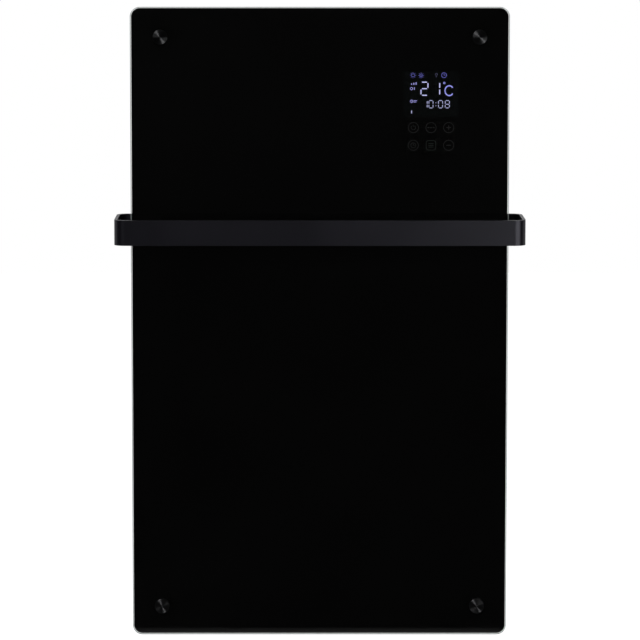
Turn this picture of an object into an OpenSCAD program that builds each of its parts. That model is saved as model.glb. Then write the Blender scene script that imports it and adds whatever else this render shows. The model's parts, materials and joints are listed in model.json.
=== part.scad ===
// Wall-mounted glass convector heater with a towel rail.
// Origin: centre of the wall bracket's bolt pattern, on the wall plane y = 0.
// +X is right as seen from the room, -Y points into the room, +Z is up.

/* [Glass panel] */
// Width of the glass
glass_w = 480; // [460:5:520]
// Height of the glass
glass_h = 806; // [800:1:900]
// Thickness of the glass
glass_t = 5; // [4:0.5:8]
// Radius of the glass corners
glass_corner_r = 12.5; // [6:0.5:20]
// Polished bevel round the glass edge
glass_bevel = 0.8; // [0.4:0.1:1.4]
// Height of the bracket's centre above the middle of the glass
bracket_rise = 40; // [20:5:60]

/* [Housing] */
// Distance from the glass's side edges to the housing
case_inset = 20; // [16:1:24]
// Distance from the glass's top and bottom edges to the housing
case_inset_z = 23; // [18:1:26]
// Depth of the steel housing
case_depth = 52; // [50:1:60]
// Thickness of the sheet steel
sheet_t = 1.2; // [1:0.1:1.6]
// Corner radius of the housing seen from the front
case_corner_r = 8; // [6:0.5:12]
// Bend radius along the rear edge
case_bend_r = 3; // [2:0.5:4]
// Depth of the front plate's flange inside the housing
lid_flange = 12; // [11:0.5:14]
// Free space between housing and wall
wall_gap = 20; // [18:1:25]
// Free space between housing and glass
glass_gap = 8; // [7:0.5:12]
// Height of the stiffening ribs on the back
rib_h = 1.5; // [1:0.1:2]
// Width of the stiffening ribs
rib_w = 12; // [10:1:16]

/* [Grilles] */
// Distance from the housing's sides to the air openings
vent_end = 20; // [16:1:40]
// Depth of the air openings
vent_d = 27; // [24:0.5:28]
// Width of the grille's rim round the opening
vent_rim = 4; // [3:0.5:4.5]
// Number of louvre blades in the outlet
blade_count = 4; // [3:1:5]
// Slant of the louvre blades
blade_tilt = 35; // [15:1:40]
// Distance between the cross ribs of the outlet
cross_rib_pitch = 50; // [30:5:80]
// Width of an inlet slot
inlet_slot_w = 5; // [3:0.5:6]
// Distance between inlet slots
inlet_pitch = 10; // [9:0.5:16]

/* [Towel rail] */
// How far the rail stands out beside the glass
rail_overhang = 19; // [14:1:30]
// Distance from the wall to the front of the rail
rail_reach = 140; // [130:1:170]
// Depth of the bent loop
rail_loop = 95; // [85:1:100]
// Height of the flat bar
bar_h = 32; // [28:1:40]
// Thickness of the flat bar
bar_t = 4; // [3:0.5:5]
// Outer radius of the rail's bends
rail_bend_r = 14; // [10:0.5:20]
// Distance from the glass's top edge down to the rail's middle
rail_drop = 281.5; // [220:0.5:330]
// Diameter of the rail screws
rail_screw_d = 5; // [4:0.5:6]

/* [Glass fixings] */
// Diameter of the turned caps
cap_d = 19; // [16:0.5:24]
// Thickness of the cap's head
cap_t = 4; // [3:0.5:6]
// Distance from the glass edges to the cap's centre
cap_inset = 38; // [34:0.5:44]
// Diameter of the stud on the cap
stud_d = 6; // [5:0.5:6]
// Length of the stud behind the cap's head
stud_len = 24; // [22:1:26]
// Diameter of the holes in the glass
glass_hole_d = 10; // [9:0.5:12]
// Diameter of the spacer behind the glass
spacer_d = 18; // [14:1:22]
// Thickness of the clear bush's flange
bush_flange_t = 1; // [0.6:0.1:1.5]

/* [Display] */
// Distance from the glass's right edge to the display's centre
display_inset = 99; // [96:1:102]
// Distance from the glass's top edge down to the display window's centre
display_drop = 110; // [104:1:118]
// Width of the display window
lcd_w = 73; // [60:1:76]
// Height of the display window
lcd_h = 61; // [50:1:62]
// Sideways distance between touch keys
key_pitch_x = 22.4; // [18:0.2:26]
// Distance between the two rows of touch keys
key_pitch_z = 22.5; // [18:0.5:26]
// Distance from the display's centre down to the upper keys
key_drop = 42.5; // [42:0.5:46]
// Depth of the display carrier behind the glass
carrier_depth = 20; // [16:1:24]

/* [Heating] */
// Number of heating elements, one above the other
element_count = 2; // [1:1:3]
// Room in the duct beyond each end of the fins
element_end_room = 32; // [30:1:50]
// Height of the lower element above the housing's bottom
element_rise = 110; // [100:5:130]
// Distance between elements
element_pitch = 80; // [60:5:90]
// Distance between the cuts that part the fins
fin_pitch = 10; // [8:0.5:16]
// Width of the cuts between the fins
fin_cut = 2.5; // [1.5:0.5:4]
// Radius of the curved wings
wing_r = 24; // [20:0.5:25]
// Diameter of the heater rods
rod_d = 8; // [6.5:0.5:9]
// Width of the bay for the electronics, at the right
bay_w = 134; // [130:1:136]

/* [Wall bracket] */
// Width of the bracket
bracket_w = 320; // [300:5:330]
// Height of the bracket
bracket_h = 340; // [320:5:380]
// Thickness of the bracket's steel
bracket_t = 2; // [1.5:0.5:3]
// Width of the bracket's upright bars
bracket_bar = 42; // [36:1:60]
// Sideways distance between the wall screws
bolt_pitch_x = 260; // [220:5:268]
// Upright distance between the wall screws
bolt_pitch_z = 290; // [250:5:300]
// Diameter of the wall screw holes
bolt_hole_d = 7; // [5:0.5:9]
// Upright distance between upper and lower hooks
hook_pitch = 240; // [200:5:260]
// Height of a hook's arm
hook_arm = 10; // [8:1:14]
// Height of a hook's lip above the arm
hook_lip = 8; // [5:1:10]

/* [Mains switch] */
// Height of the switch above the housing's bottom
switch_rise = 50; // [45:1:55]
// Length of the switch housing
switch_l = 27.2; // [26:0.2:30]
// Width of the switch housing
switch_w = 21.4; // [20:0.2:24]
// Depth of the switch housing behind its bezel
switch_depth = 18; // [16:1:20]
// Angle between the switch's two positions
switch_throw = 16; // [10:1:20]

/* [Mains connection] */
// Distance from the housing's right side to the cable gland
gland_inset = 80; // [70:1:90]
// Height of the cable gland above the housing's bottom
gland_rise = 34; // [30:1:40]
// Bore of the cable gland
gland_bore_d = 7.5; // [5:0.5:9]
// Thread diameter of the cable gland
gland_thread_d = 14; // [12:0.5:16]

/* [Hidden] */
$fn = 48;
// gap between pieces that lie beside each other
fit = 0.3;
// radial gap of a pin in its hole
pin_fit = 0.05;
// radial gap of a screw in a clearance hole
screw_fit = 0.3;

// depth positions, from the wall towards the room
case_back_y = -wall_gap;
case_inner_y = case_back_y - sheet_t;
case_front_y = case_back_y - case_depth;
lid_inner_y = case_front_y + sheet_t;
glass_back_y = case_front_y - glass_gap;
glass_front_y = glass_back_y - glass_t;
vent_y = (case_inner_y + case_front_y + lid_flange) / 2;

// glass fixings
cap_x = glass_w / 2 - cap_inset;
cap_z = glass_h / 2 - cap_inset;
pad_t = 1;
nut_flange_t = 0.8;
nut_d = 9;
nut_len = 13;
stud_hole_d = stud_d + 2 * screw_fit;

// housing
case_w = glass_w - 2 * case_inset;
case_h = glass_h - 2 * case_inset_z;
case_bottom_z = -case_h / 2;
in_w = case_w - 2 * sheet_t;
in_h = case_h - 2 * sheet_t;
lid_w = in_w - 2 * fit;
lid_h = in_h - 2 * fit;
lid_corner_r = case_corner_r - sheet_t - fit;
lid_bend_r = 2;
duct_wall_x = case_w / 2 - bay_w;
rib_pitch = 90;
rib_count = 3;
rib_first = 36;
rib_xs = [for (i = [0:rib_count - 1]) duct_wall_x - rib_first - i * rib_pitch];
rib_end = 99;
rib_len = case_h - 2 * rib_end;
lid_screw_d = 3.2;
lid_screw_y = case_front_y + lid_flange / 2;
lid_screw_end = 80;
lid_screw_zs = [for (i = [-1:1]) i * (case_h / 2 - lid_screw_end)];
lid_screw_side = 40;
lid_screw_x = case_w / 2 - lid_screw_side;

// grilles
vent_w = case_w - 2 * vent_end;
louvre_body = 9;
louvre_wall = 1.5;
louvre_rim_t = 1.2;
vent_corner_r = 2;

// towel rail
rail_w = glass_w + 2 * rail_overhang;
rail_rise = glass_h / 2 - rail_drop;
rail_mid_y = rail_loop / 2 - rail_reach;
rail_rear_y = rail_loop - rail_reach;
rail_gap = 4;
foot_t = 3;
foot_bend_r = 4;
foot_h = bar_h - 4;
foot_reach = rail_w / 2 - rail_bend_r - case_w / 2;
foot_depth = 21;
foot_screw_z = 8;
foot_screw_x = case_w / 2 + foot_reach / 2 + 2;
foot_screw_back = 8;
foot_screw_y = rail_rear_y + foot_bend_r + foot_screw_back;
rail_screw_head_d = 8.5;
rail_screw_head_t = 2.6;

// display
display_x = glass_w / 2 - display_inset;
display_z = glass_h / 2 - display_drop;
carrier_w = 92;
carrier_wall = 2;
carrier_rim = 5;
carrier_rim_t = 2;
board_margin = 2;
board_t = 1.6;
gasket_t = 1;
lcd_t = 7;
key_xs = [display_x - key_pitch_x, display_x, display_x + key_pitch_x];
key_zs = [display_z - key_drop, display_z - key_drop - key_pitch_z];
carrier_head = 10;
carrier_chin = 18;
carrier_top = display_z + lcd_h / 2 + carrier_head;
carrier_bottom = key_zs[1] - carrier_chin;
carrier_h = carrier_top - carrier_bottom;
carrier_z = (carrier_top + carrier_bottom) / 2;
carrier_front_y = glass_back_y + gasket_t;
display_board_y = carrier_front_y + carrier_depth - 6;
display_screw_d = 3;
spring_d = 8;
spring_wire_d = 0.9;
spring_turns = 4;

// heating elements
duct_w = duct_wall_x + in_w / 2;
element_len = duct_w - 2 * element_end_room;
element_z = case_bottom_z + element_rise;
tube_r = rod_d / 2 + 3;
wing_t = 1.6;
wing_offset = tube_r - 1;
wing_half_angle = 64;
rib_angles = [-54:18:54];
rib_depth = 4;
rib_t = 0.9;
rod_fit = 0.1;
element_y = (case_inner_y + lid_inner_y) / 2 + 1.5;
element_zs = [for (i = [0:element_count - 1]) element_z + i * element_pitch];
element_mid_x = duct_wall_x - duct_w / 2 - 3;
element_ends = [element_mid_x - element_len / 2, element_mid_x + element_len / 2];
holder_gap = 6;
holder_t = 1.2;
holder_foot = 12;
holder_margin = 22;
holder_bend_r = 2;
bush_d = 16;
bush_collar_d = 21;
bush_len = 8;
rod_overhang = 13;
pin_d = 3;
pin_len = 7;
shield_t = 0.8;
shield_depth = 3.6;
shield_margin = 55;
shield_corner_r = 6;
shield_side_gap = 9;
duct_wall_t = 1;
duct_flange = 11;
wire_hole_d = 14;
wire_pass_z = element_z + element_pitch / 2;

// sensors
cutout_rise = 75;
cutout_x = element_mid_x;
cutout_z = element_zs[element_count - 1] + cutout_rise;
cutout_d = 16;
ear_w = 30;
cutout_t = 7;
fuse_side = 50;
fuse_x = cutout_x + fuse_side;
fuse_body_d = 4;
fuse_body_len = 12;
sensor_side = 48;
sensor_rise = 14;
sensor_x = case_w / 2 - sensor_side;
sensor_z = case_bottom_z + sensor_rise;

// power board
board_w = 100;
board_h = 128;
board_side = 17;
board_rise = 154;
board_x = duct_wall_x + board_side + board_w / 2;
board_z = case_bottom_z + board_rise;
post_h = 8;
post_d = 6;
post_inset = 6;
power_board_y = case_inner_y - post_h;
power_front_y = power_board_y - board_t;

// pieces on the power board: [width, height, how far it stands out]
relay_size = [29, 16, 20];
relay_pitch = 24;
relay_at = [-28, 14];
coil_size = [22, 34, 26];
core_size = [34, 20, 20];
coil_at = [20, 34];
can_d = 12;
can_h = 16;
can_pitch = 16;
can_at = [10, 0];
film_size = [10, 24, 16];
film_at = [34, -6];
terminal_ways = 5;
terminal_size = [10, 15, 14];
terminal_edge = 20;
terminal_z = board_z - board_h / 2 + terminal_edge;

// wall bracket
flange_depth = wall_gap - 6;
hook_tip = 5;
hook_reach = wall_gap + sheet_t + fit + hook_tip;
hook_slot_w = bracket_t + 1;
hook_slot_h = hook_arm + hook_lip + 2;
bar_z = 50;
bracket_corner_r = 6;
lock_x = 90;
lock_xs = [-lock_x, lock_x];
lock_w = 26;
lock_t = 1.5;
lock_leg = 20;
lock_tab_back = 5;
lock_bend_r = 2.5;
lock_screw_head_d = 8;
lock_screw_head_t = 2.4;
lock_screw_d = 4;
lock_y = -10;
shelf_depth = wall_gap - 4;
buffer_inset = 35;
buffer_x = case_w / 2 - buffer_inset;
buffer_z = case_bottom_z + buffer_inset;
buffer_d = 18;
buffer_stem_d = 6;

// mains switch
switch_z = case_bottom_z + switch_rise;
rocker_r = switch_l / 2 - 1.4;
rocker_w = switch_w - 3.4;
rocker_centre_h = 2.2;
rocker_floor = 5;
pivot_d = 3;
pivot_len = 1.2;
bezel_t = 1.6;
bezel_lip = 2.2;
pivot_x = case_w / 2;
switch_y = vent_y - 4;
terminal_len = 6;
tab_pitch = 7;
tab_w = 4.8;
tab_t = 0.8;

// mains connection
gland_x = case_w / 2 - gland_inset;
gland_z = case_bottom_z + gland_rise;
gland_flange_d = 20;
gland_flange_t = 3;
gland_dome_d = 16;
gland_dome_t = 9;
gland_thread_len = 10;
gland_nut_t = 4;
earth_side = 24;
earth_rise = 62;
earth_x = duct_wall_x + earth_side;
earth_z = case_bottom_z + earth_rise;

// wires
wire_d = 2.4;
wire_sides = 8;
wire_bend = 4;
wire_turn = 12;
wire_lift = 5;
ribbon_w = 14;
ribbon_t = 1;

// Everything but the bracket's own pieces is placed from the middle of the glass.
module in_panel() {
    translate([0, 0, -bracket_rise]) children();
}

// Outline in X and Z, t thick, from y towards the room.
module slab(y, t) {
    translate([0, y, 0]) rotate([90, 0, 0]) linear_extrude(t) children();
}

// Outline in Y and Z, t thick, from x to the right.
module across(x, t) {
    translate([x, 0, 0]) rotate([90, 0, 90]) linear_extrude(t) children();
}

// Outline in X and Y, h high, from z upwards.
module upright(z, h) {
    translate([0, 0, z]) linear_extrude(h) children();
}

// Round bar along Y from y towards the room.
module rod_y(x, y, z, d, len) {
    translate([x, y, z]) rotate([90, 0, 0]) cylinder(d = d, h = len);
}

// Round bar along X from x to the right.
module rod_x(x, y, z, d, len) {
    translate([x, y, z]) rotate([0, 90, 0]) cylinder(d = d, h = len);
}

module rounded_rect(w, h, r) {
    square([w - 2 * r, h], center = true);
    square([w, h - 2 * r], center = true);
    for (sx = [-1, 1], sy = [-1, 1])
        translate([sx * (w / 2 - r), sy * (h / 2 - r)])
            circle(r);
}

// Slot with round ends, l long over all, upright.
module obround(w, l) {
    square([w, l - w], center = true);
    for (s = [-1, 1])
        translate([0, s * (l - w) / 2])
            circle(d = w);
}

module ring(outer_d, inner_d) {
    difference() {
        circle(d = outer_d);
        circle(d = inner_d);
    }
}

// Strip bent to an L round the origin, legs along +X and +Y.
module bent_strip(leg_x, leg_y, t, r) {
    translate([r, 0]) square([leg_x - r, t]);
    translate([0, r]) square([t, leg_y - r]);
    intersection() {
        square(r);
        translate([r, r]) ring(2 * r, 2 * (r - t));
    }
}

// Solid block with round corners and one rounded edge loop at its rear face.
module pressed_block(w, h, depth, corner_r, bend_r) {
    module profile(half) {
        square([half - bend_r, depth]);
        translate([0, bend_r]) square([half, depth - bend_r]);
        translate([half - bend_r, bend_r]) circle(bend_r);
    }
    module run(width, length) {
        rotate([90, 0, 0]) linear_extrude(length, center = true)
            for (s = [0, 1]) mirror([s, 0]) profile(width / 2);
    }
    rotate([90, 0, 0]) {
        run(w, h - 2 * corner_r);
        rotate([0, 0, 90]) run(h, w - 2 * corner_r);
        for (sx = [-1, 1], sy = [-1, 1])
            translate([sx * (w / 2 - corner_r), sy * (h / 2 - corner_r), 0])
                rotate_extrude() profile(corner_r);
    }
}

// Plate with round corners and a bevel along both edges.
module bevelled_plate(w, h, t, corner_r, bevel) {
    function half_edge(half) =
        [[half - bevel, 0], [half, bevel], [half, t - bevel], [half - bevel, t]];
    function mirrored(half) = [for (i = [3:-1:0]) [-half_edge(half)[i][0], half_edge(half)[i][1]]];
    module run(width, length) {
        rotate([90, 0, 0]) linear_extrude(length, center = true)
            polygon(concat(half_edge(width / 2), mirrored(width / 2)));
    }
    rotate([90, 0, 0]) {
        run(w, h - 2 * corner_r);
        rotate([0, 0, 90]) run(h, w - 2 * corner_r);
        for (sx = [-1, 1], sy = [-1, 1])
            translate([sx * (w / 2 - corner_r), sy * (h / 2 - corner_r), 0])
                rotate_extrude() polygon(concat([[0, 0]], half_edge(corner_r), [[0, t]]));
    }
}

module at_caps() {
    for (sx = [-1, 1], sz = [-1, 1])
        translate([sx * cap_x, 0, sz * cap_z]) children();
}

// Pan-head screw, head above z = 0 and shank below.
module screw(head_d, head_t, shank_d, len) {
    dome = head_t / 3;
    rotate_extrude()
        polygon([[0, -len], [shank_d / 2, -len], [shank_d / 2, 0], [head_d / 2, 0],
            [head_d / 2, head_t - dome], [head_d / 2 - dome, head_t], [0, head_t]]);
}

// Points along a bent line, and a tube with flat sides round them.
function unit(v) = v / norm(v);
function curve(a, b, c, t) = (1 - t) * (1 - t) * a + 2 * t * (1 - t) * b + t * t * c;
function eased(points, r) = [
    points[0],
    for (i = [1:len(points) - 2], t = [0:0.25:1])
        curve(points[i] + r * unit(points[i - 1] - points[i]), points[i],
            points[i] + r * unit(points[i + 1] - points[i]), t),
    points[len(points) - 1]
];
function heading(p, i) =
    i == 0 ? unit(p[1] - p[0])
    : i == len(p) - 1 ? unit(p[i] - p[i - 1])
    : unit(unit(p[i] - p[i - 1]) + unit(p[i + 1] - p[i]));
function tube_ring(p, i, r, sides, side_dir) =
    let (d = heading(p, i), u = unit(cross(d, side_dir)), v = cross(d, u))
    [for (k = [0:sides - 1]) p[i] + r * (cos(360 * k / sides) * u + sin(360 * k / sides) * v)];

module tube(points, d, sides, side_dir) {
    rings = [for (i = [0:len(points) - 1]) each tube_ring(points, i, d / 2, sides, side_dir)];
    last = (len(points) - 1) * sides;
    walls = [for (i = [0:len(points) - 2], k = [0:sides - 1], half = [0, 1])
        let (a = i * sides + k, b = i * sides + (k + 1) % sides)
        half == 0 ? [a, a + sides, b] : [b, a + sides, b + sides]];
    polyhedron(rings, concat([[for (k = [0:sides - 1]) k]],
        walls, [[for (k = [sides - 1:-1:0]) last + k]]), convexity = 6);
}

module front_glass() {
    color([0.02, 0.02, 0.025]) in_panel() difference() {
        translate([0, glass_back_y, 0])
            bevelled_plate(glass_w, glass_h, glass_t, glass_corner_r, glass_bevel);
        at_caps() rod_y(0, glass_back_y + 1, 0, glass_hole_d, glass_t + 2);
    }
}

module glass_caps() {
    head_y = glass_front_y - bush_flange_t;
    bevel = 0.6;
    color([0.12, 0.12, 0.12]) in_panel() at_caps()
        translate([0, head_y, 0]) rotate([90, 0, 0]) rotate_extrude()
            polygon([[0, -stud_len], [stud_d / 2, -stud_len], [stud_d / 2, 0], [cap_d / 2, 0],
                [cap_d / 2, cap_t - bevel], [cap_d / 2 - bevel, cap_t], [0, cap_t]]);
}

// Clear bush that keeps cap and stud off the glass.
module cap_bushes() {
    sleeve_d = glass_hole_d - 2 * screw_fit;
    flange_d = cap_d - 1;
    color([0.7, 0.7, 0.72]) in_panel() at_caps() {
        slab(glass_front_y, bush_flange_t) ring(flange_d, stud_hole_d);
        slab(glass_back_y - 0.5, glass_t - 0.5) ring(sleeve_d, stud_hole_d);
    }
}

module glass_pads() {
    color([0.2, 0.2, 0.2]) in_panel() at_caps()
        slab(glass_back_y + pad_t, pad_t) ring(spacer_d, stud_hole_d);
}

module glass_spacers() {
    spacer_len = glass_gap - pad_t - nut_flange_t;
    color([0.7, 0.7, 0.7]) in_panel() at_caps()
        slab(case_front_y - nut_flange_t, spacer_len) ring(spacer_d, stud_hole_d);
}

module rivet_nuts() {
    flange_d = spacer_d - 4;
    thread_d = stud_d + 2 * pin_fit;
    color([0.75, 0.72, 0.6]) in_panel() at_caps() {
        slab(case_front_y, nut_flange_t) ring(flange_d, thread_d);
        slab(case_front_y + nut_len, nut_len) ring(nut_d, thread_d);
    }
}

module at_lid_screws() {
    for (s = [0, 1], z = lid_screw_zs)
        mirror([s, 0, 0]) translate([case_w / 2, lid_screw_y, z]) rotate([0, 90, 0]) children();
    for (s = [0, 1], sx = [-1, 1])
        mirror([0, 0, s]) translate([sx * lid_screw_x, lid_screw_y, case_h / 2]) children();
}

module at_rail_feet_screws() {
    for (s = [0, 1], sz = [-1, 1])
        mirror([s, 0, 0])
            translate([case_w / 2, foot_screw_y, rail_rise + sz * foot_screw_z])
                rotate([0, 90, 0]) children();
}

module at_hooks() {
    for (s = [-1, 1], sz = [-1, 1])
        translate([s * (bracket_w / 2 - bracket_t / 2), 0, sz * hook_pitch / 2]) children();
}

module switch_opening() {
    across(case_w / 2 - sheet_t - 1, sheet_t + 2)
        translate([switch_y, switch_z])
            square([switch_w + 2 * fit, switch_l + 2 * fit], center = true);
}

module back_casing() {
    nut_hole_d = rail_screw_d + 3;
    color([0.1, 0.1, 0.11]) difference() {
        in_panel() difference() {
            union() {
                translate([0, case_back_y, 0])
                    pressed_block(case_w, case_h, case_depth, case_corner_r, case_bend_r);
                slab(case_back_y + rib_h, rib_h + sheet_t / 2)
                    for (x = rib_xs) translate([x, 0]) obround(rib_w, rib_len);
            }
            translate([0, case_inner_y, 0])
                pressed_block(in_w, in_h, case_depth, case_corner_r - sheet_t, case_bend_r - sheet_t);
            slab(case_inner_y + rib_h, rib_h + 1)
                for (x = rib_xs) translate([x, 0]) obround(rib_w - 2 * sheet_t, rib_len - 2 * sheet_t);
            upright(-case_h / 2 - 1, case_h + 2)
                translate([0, vent_y]) rounded_rect(vent_w, vent_d, vent_corner_r);
            switch_opening();
            at_lid_screws() cylinder(d = lid_screw_d + 2 * screw_fit, h = 4 * sheet_t, center = true);
            at_rail_feet_screws() cylinder(d = nut_hole_d, h = 4 * sheet_t, center = true);
            rod_y(gland_x, case_back_y + 1, gland_z, gland_thread_d + 2 * screw_fit, sheet_t + 2);
            for (s = [-1, 1])
                rod_y(s * buffer_x, case_back_y + 1, buffer_z, buffer_stem_d + 2 * screw_fit, sheet_t + 2);
        }
        at_hooks()
            translate([-hook_slot_w / 2, case_inner_y - 1, hook_arm - hook_slot_h])
                cube([hook_slot_w, sheet_t + 2, hook_slot_h]);
    }
}

module front_plate() {
    opening_w = carrier_w + 2 * fit;
    opening_h = carrier_h + 2 * fit;
    color([0.1, 0.1, 0.11]) in_panel() difference() {
        translate([0, case_front_y, 0]) mirror([0, 1, 0])
            pressed_block(lid_w, lid_h, lid_flange, lid_corner_r, lid_bend_r);
        translate([0, lid_inner_y, 0]) mirror([0, 1, 0])
            pressed_block(lid_w - 2 * sheet_t, lid_h - 2 * sheet_t, lid_flange,
                lid_corner_r - sheet_t, lid_bend_r - sheet_t);
        slab(lid_inner_y + 1, sheet_t + 2)
            translate([display_x, carrier_z]) rounded_rect(opening_w, opening_h, 2);
        at_caps() rod_y(0, lid_inner_y + 1, 0, nut_d + 0.2, sheet_t + 2);
        at_display_screws()
            rod_y(0, lid_inner_y + 1, 0, display_screw_d + 2 * pin_fit, sheet_t + 2);
        at_lid_screws() cylinder(d = lid_screw_d + 2 * pin_fit, h = 8 * sheet_t, center = true);
    }
}

module casing_screws() {
    color([0.15, 0.15, 0.15]) in_panel() at_lid_screws() screw(7, 2.2, lid_screw_d, 7);
}

// Louvre grille dropped into the opening in the housing's top.
module outlet_grille() {
    blade_t = 1.1;
    gap_d = vent_d - 2 * fit - 2 * louvre_wall;
    blade_step = gap_d / blade_count;
    top_z = case_h / 2;
    inner_w = vent_w - 2 * fit - 2 * louvre_wall;
    rib_count = floor(inner_w / cross_rib_pitch / 2);
    blade_h = louvre_body - 1;
    color([0.09, 0.09, 0.1]) in_panel() translate([0, vent_y, 0]) {
        upright(top_z, louvre_rim_t) difference() {
            rounded_rect(vent_w + 2 * vent_rim, vent_d + 2 * vent_rim, vent_corner_r + vent_rim);
            square([inner_w, gap_d], center = true);
        }
        upright(top_z - louvre_body, louvre_body) difference() {
            rounded_rect(vent_w - 2 * fit, vent_d - 2 * fit, vent_corner_r - fit);
            square([inner_w, gap_d], center = true);
        }
        for (i = [0:blade_count - 1])
            translate([0, (i + 0.5) * blade_step - gap_d / 2, top_z - louvre_body / 2])
                rotate([blade_tilt, 0, 0])
                    cube([inner_w + 1, blade_t, blade_h], center = true);
        for (i = [-rib_count:rib_count])
            translate([i * cross_rib_pitch, 0, top_z - louvre_body / 2])
                cube([blade_t, gap_d + 1, louvre_body], center = true);
    }
}

// Slotted plate that lies on the housing's floor over the air inlet.
module inlet_grille() {
    plate_d = vent_d + 2 * vent_rim;
    slot_l = vent_d - 4;
    slot_count = floor((vent_w - inlet_slot_w) / inlet_pitch / 2);
    color([0.13, 0.13, 0.14]) in_panel() translate([0, vent_y, 0])
        upright(-in_h / 2, sheet_t) difference() {
            square([vent_w + 2 * vent_rim, plate_d], center = true);
            for (i = [-slot_count:slot_count])
                translate([i * inlet_pitch, 0]) obround(inlet_slot_w, slot_l);
        }
}

module at_rail_screws() {
    for (s = [-1, 1], sz = [-1, 1])
        translate([s * foot_screw_x, rail_rear_y - bar_t, rail_rise + sz * foot_screw_z])
            rotate([90, 0, 0]) children();
}

// Flat bar bent round the glass, open behind it.
module towel_rail() {
    color([0.1, 0.1, 0.11]) in_panel() difference() {
        upright(rail_rise - bar_h / 2, bar_h) translate([0, rail_mid_y]) difference() {
            rounded_rect(rail_w, rail_loop, rail_bend_r);
            rounded_rect(rail_w - 2 * bar_t, rail_loop - 2 * bar_t, rail_bend_r - bar_t);
            translate([-case_w / 2 - rail_gap, 0])
                square([case_w + 2 * rail_gap, rail_loop]);
        }
        at_rail_screws() cylinder(d = rail_screw_d + 2 * screw_fit, h = 4 * bar_t, center = true);
    }
}

// Angle bracket between the housing's side and the rail's rear end.
module rail_bracket(side) {
    color([0.12, 0.12, 0.12]) in_panel() difference() {
        mirror([side < 0 ? 1 : 0, 0, 0])
            upright(rail_rise - foot_h / 2, foot_h)
                translate([case_w / 2, rail_rear_y])
                    bent_strip(foot_reach, foot_depth, foot_t, foot_bend_r);
        at_rail_feet_screws()
            cylinder(d = rail_screw_d + 2 * screw_fit, h = 4 * foot_t, center = true);
        at_rail_screws() cylinder(d = rail_screw_d + 2 * pin_fit, h = 8 * foot_t, center = true);
    }
}

module rail_bracket_left() {
    rail_bracket(-1);
}

module rail_bracket_right() {
    rail_bracket(1);
}

module rail_screws() {
    color([0.2, 0.2, 0.2]) in_panel() {
        at_rail_screws()
            screw(rail_screw_head_d, rail_screw_head_t, rail_screw_d, bar_t + foot_t + 1);
        at_rail_feet_screws() translate([0, 0, foot_t])
            screw(rail_screw_head_d, rail_screw_head_t, rail_screw_d, foot_t + 9);
    }
}

// Rivet nuts inside the housing's sides, for the rail's angle brackets.
module rail_nuts() {
    thread_d = rail_screw_d + 2 * pin_fit;
    barrel_d = rail_screw_d + 2.4;
    color([0.75, 0.72, 0.6]) in_panel() at_rail_feet_screws() {
        upright(-10, 10) ring(barrel_d, thread_d);
        upright(-sheet_t - 2, 2) ring(barrel_d + 3, thread_d);
    }
}

// Side flange of the bracket with its two hooks, outline in Y and Z.
module hook_profile() {
    translate([-flange_depth, -bracket_h / 2 + bracket_corner_r])
        square([flange_depth, bracket_h - 2 * bracket_corner_r]);
    for (sz = [-1, 1]) translate([0, sz * hook_pitch / 2]) {
        translate([-hook_reach, 0]) square([hook_reach - flange_depth + 1, hook_arm]);
        translate([-hook_reach, hook_arm - 1]) square([hook_tip, hook_lip + 1]);
    }
}

module wall_bracket() {
    window_w = bracket_w - 2 * bracket_bar;
    window_h = bracket_h - 2 * bar_z;
    color([0.72, 0.73, 0.74]) difference() {
        union() {
            slab(0, bracket_t) difference() {
                rounded_rect(bracket_w, bracket_h, bracket_corner_r);
                rounded_rect(window_w, window_h, bracket_corner_r);
                for (sx = [-1, 1], sz = [-1, 1])
                    translate([sx * bolt_pitch_x / 2, sz * bolt_pitch_z / 2])
                        circle(d = bolt_hole_d);
            }
            for (s = [0, 1]) mirror([s, 0, 0])
                across(bracket_w / 2 - bracket_t, bracket_t) hook_profile();
            for (x = lock_xs)
                translate([x - lock_w / 2, -shelf_depth, -bracket_h / 2])
                    cube([lock_w, shelf_depth, bracket_t]);
        }
        for (x = lock_xs)
            translate([x, lock_y, -bracket_h / 2 - 1])
                cylinder(d = lock_screw_d + 2 * pin_fit, h = bracket_t + 2);
    }
}

// Small angles on the housing's back that the bracket's shelves are screwed to.
module lock_tabs() {
    tab_z = -bracket_h / 2 - fit;
    color([0.7, 0.71, 0.72]) difference() {
        for (x = lock_xs)
            translate([x - lock_w / 2, case_back_y, tab_z]) rotate([90, 0, 90])
                linear_extrude(lock_w) mirror([0, 1])
                    bent_strip(wall_gap - lock_tab_back, lock_leg, lock_t, lock_bend_r);
        for (x = lock_xs)
            translate([x, lock_y, tab_z - lock_t - 1])
                cylinder(d = lock_screw_d + 2 * screw_fit, h = lock_t + 2);
    }
}

module lock_screws() {
    color([0.75, 0.75, 0.75])
        for (x = lock_xs)
            translate([x, lock_y, -bracket_h / 2 - fit - lock_t]) mirror([0, 0, 1])
                screw(lock_screw_head_d, lock_screw_head_t, lock_screw_d,
                    bracket_t + fit + lock_t + lock_screw_d);
}

module wall_buffers() {
    stem_len = sheet_t + 5;
    color([0.06, 0.06, 0.06]) in_panel()
        for (s = [-1, 1]) {
            translate([s * buffer_x, 0, buffer_z]) rotate([90, 0, 0])
                cylinder(d1 = buffer_d - 3, d2 = buffer_d, h = wall_gap);
            rod_y(s * buffer_x, case_back_y, buffer_z, buffer_stem_d, stem_len);
        }
}

// Switch parts are drawn round the rocker's pivot, with +X out of the housing.
module at_switch() {
    translate([pivot_x, switch_y, switch_z]) children();
}

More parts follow.
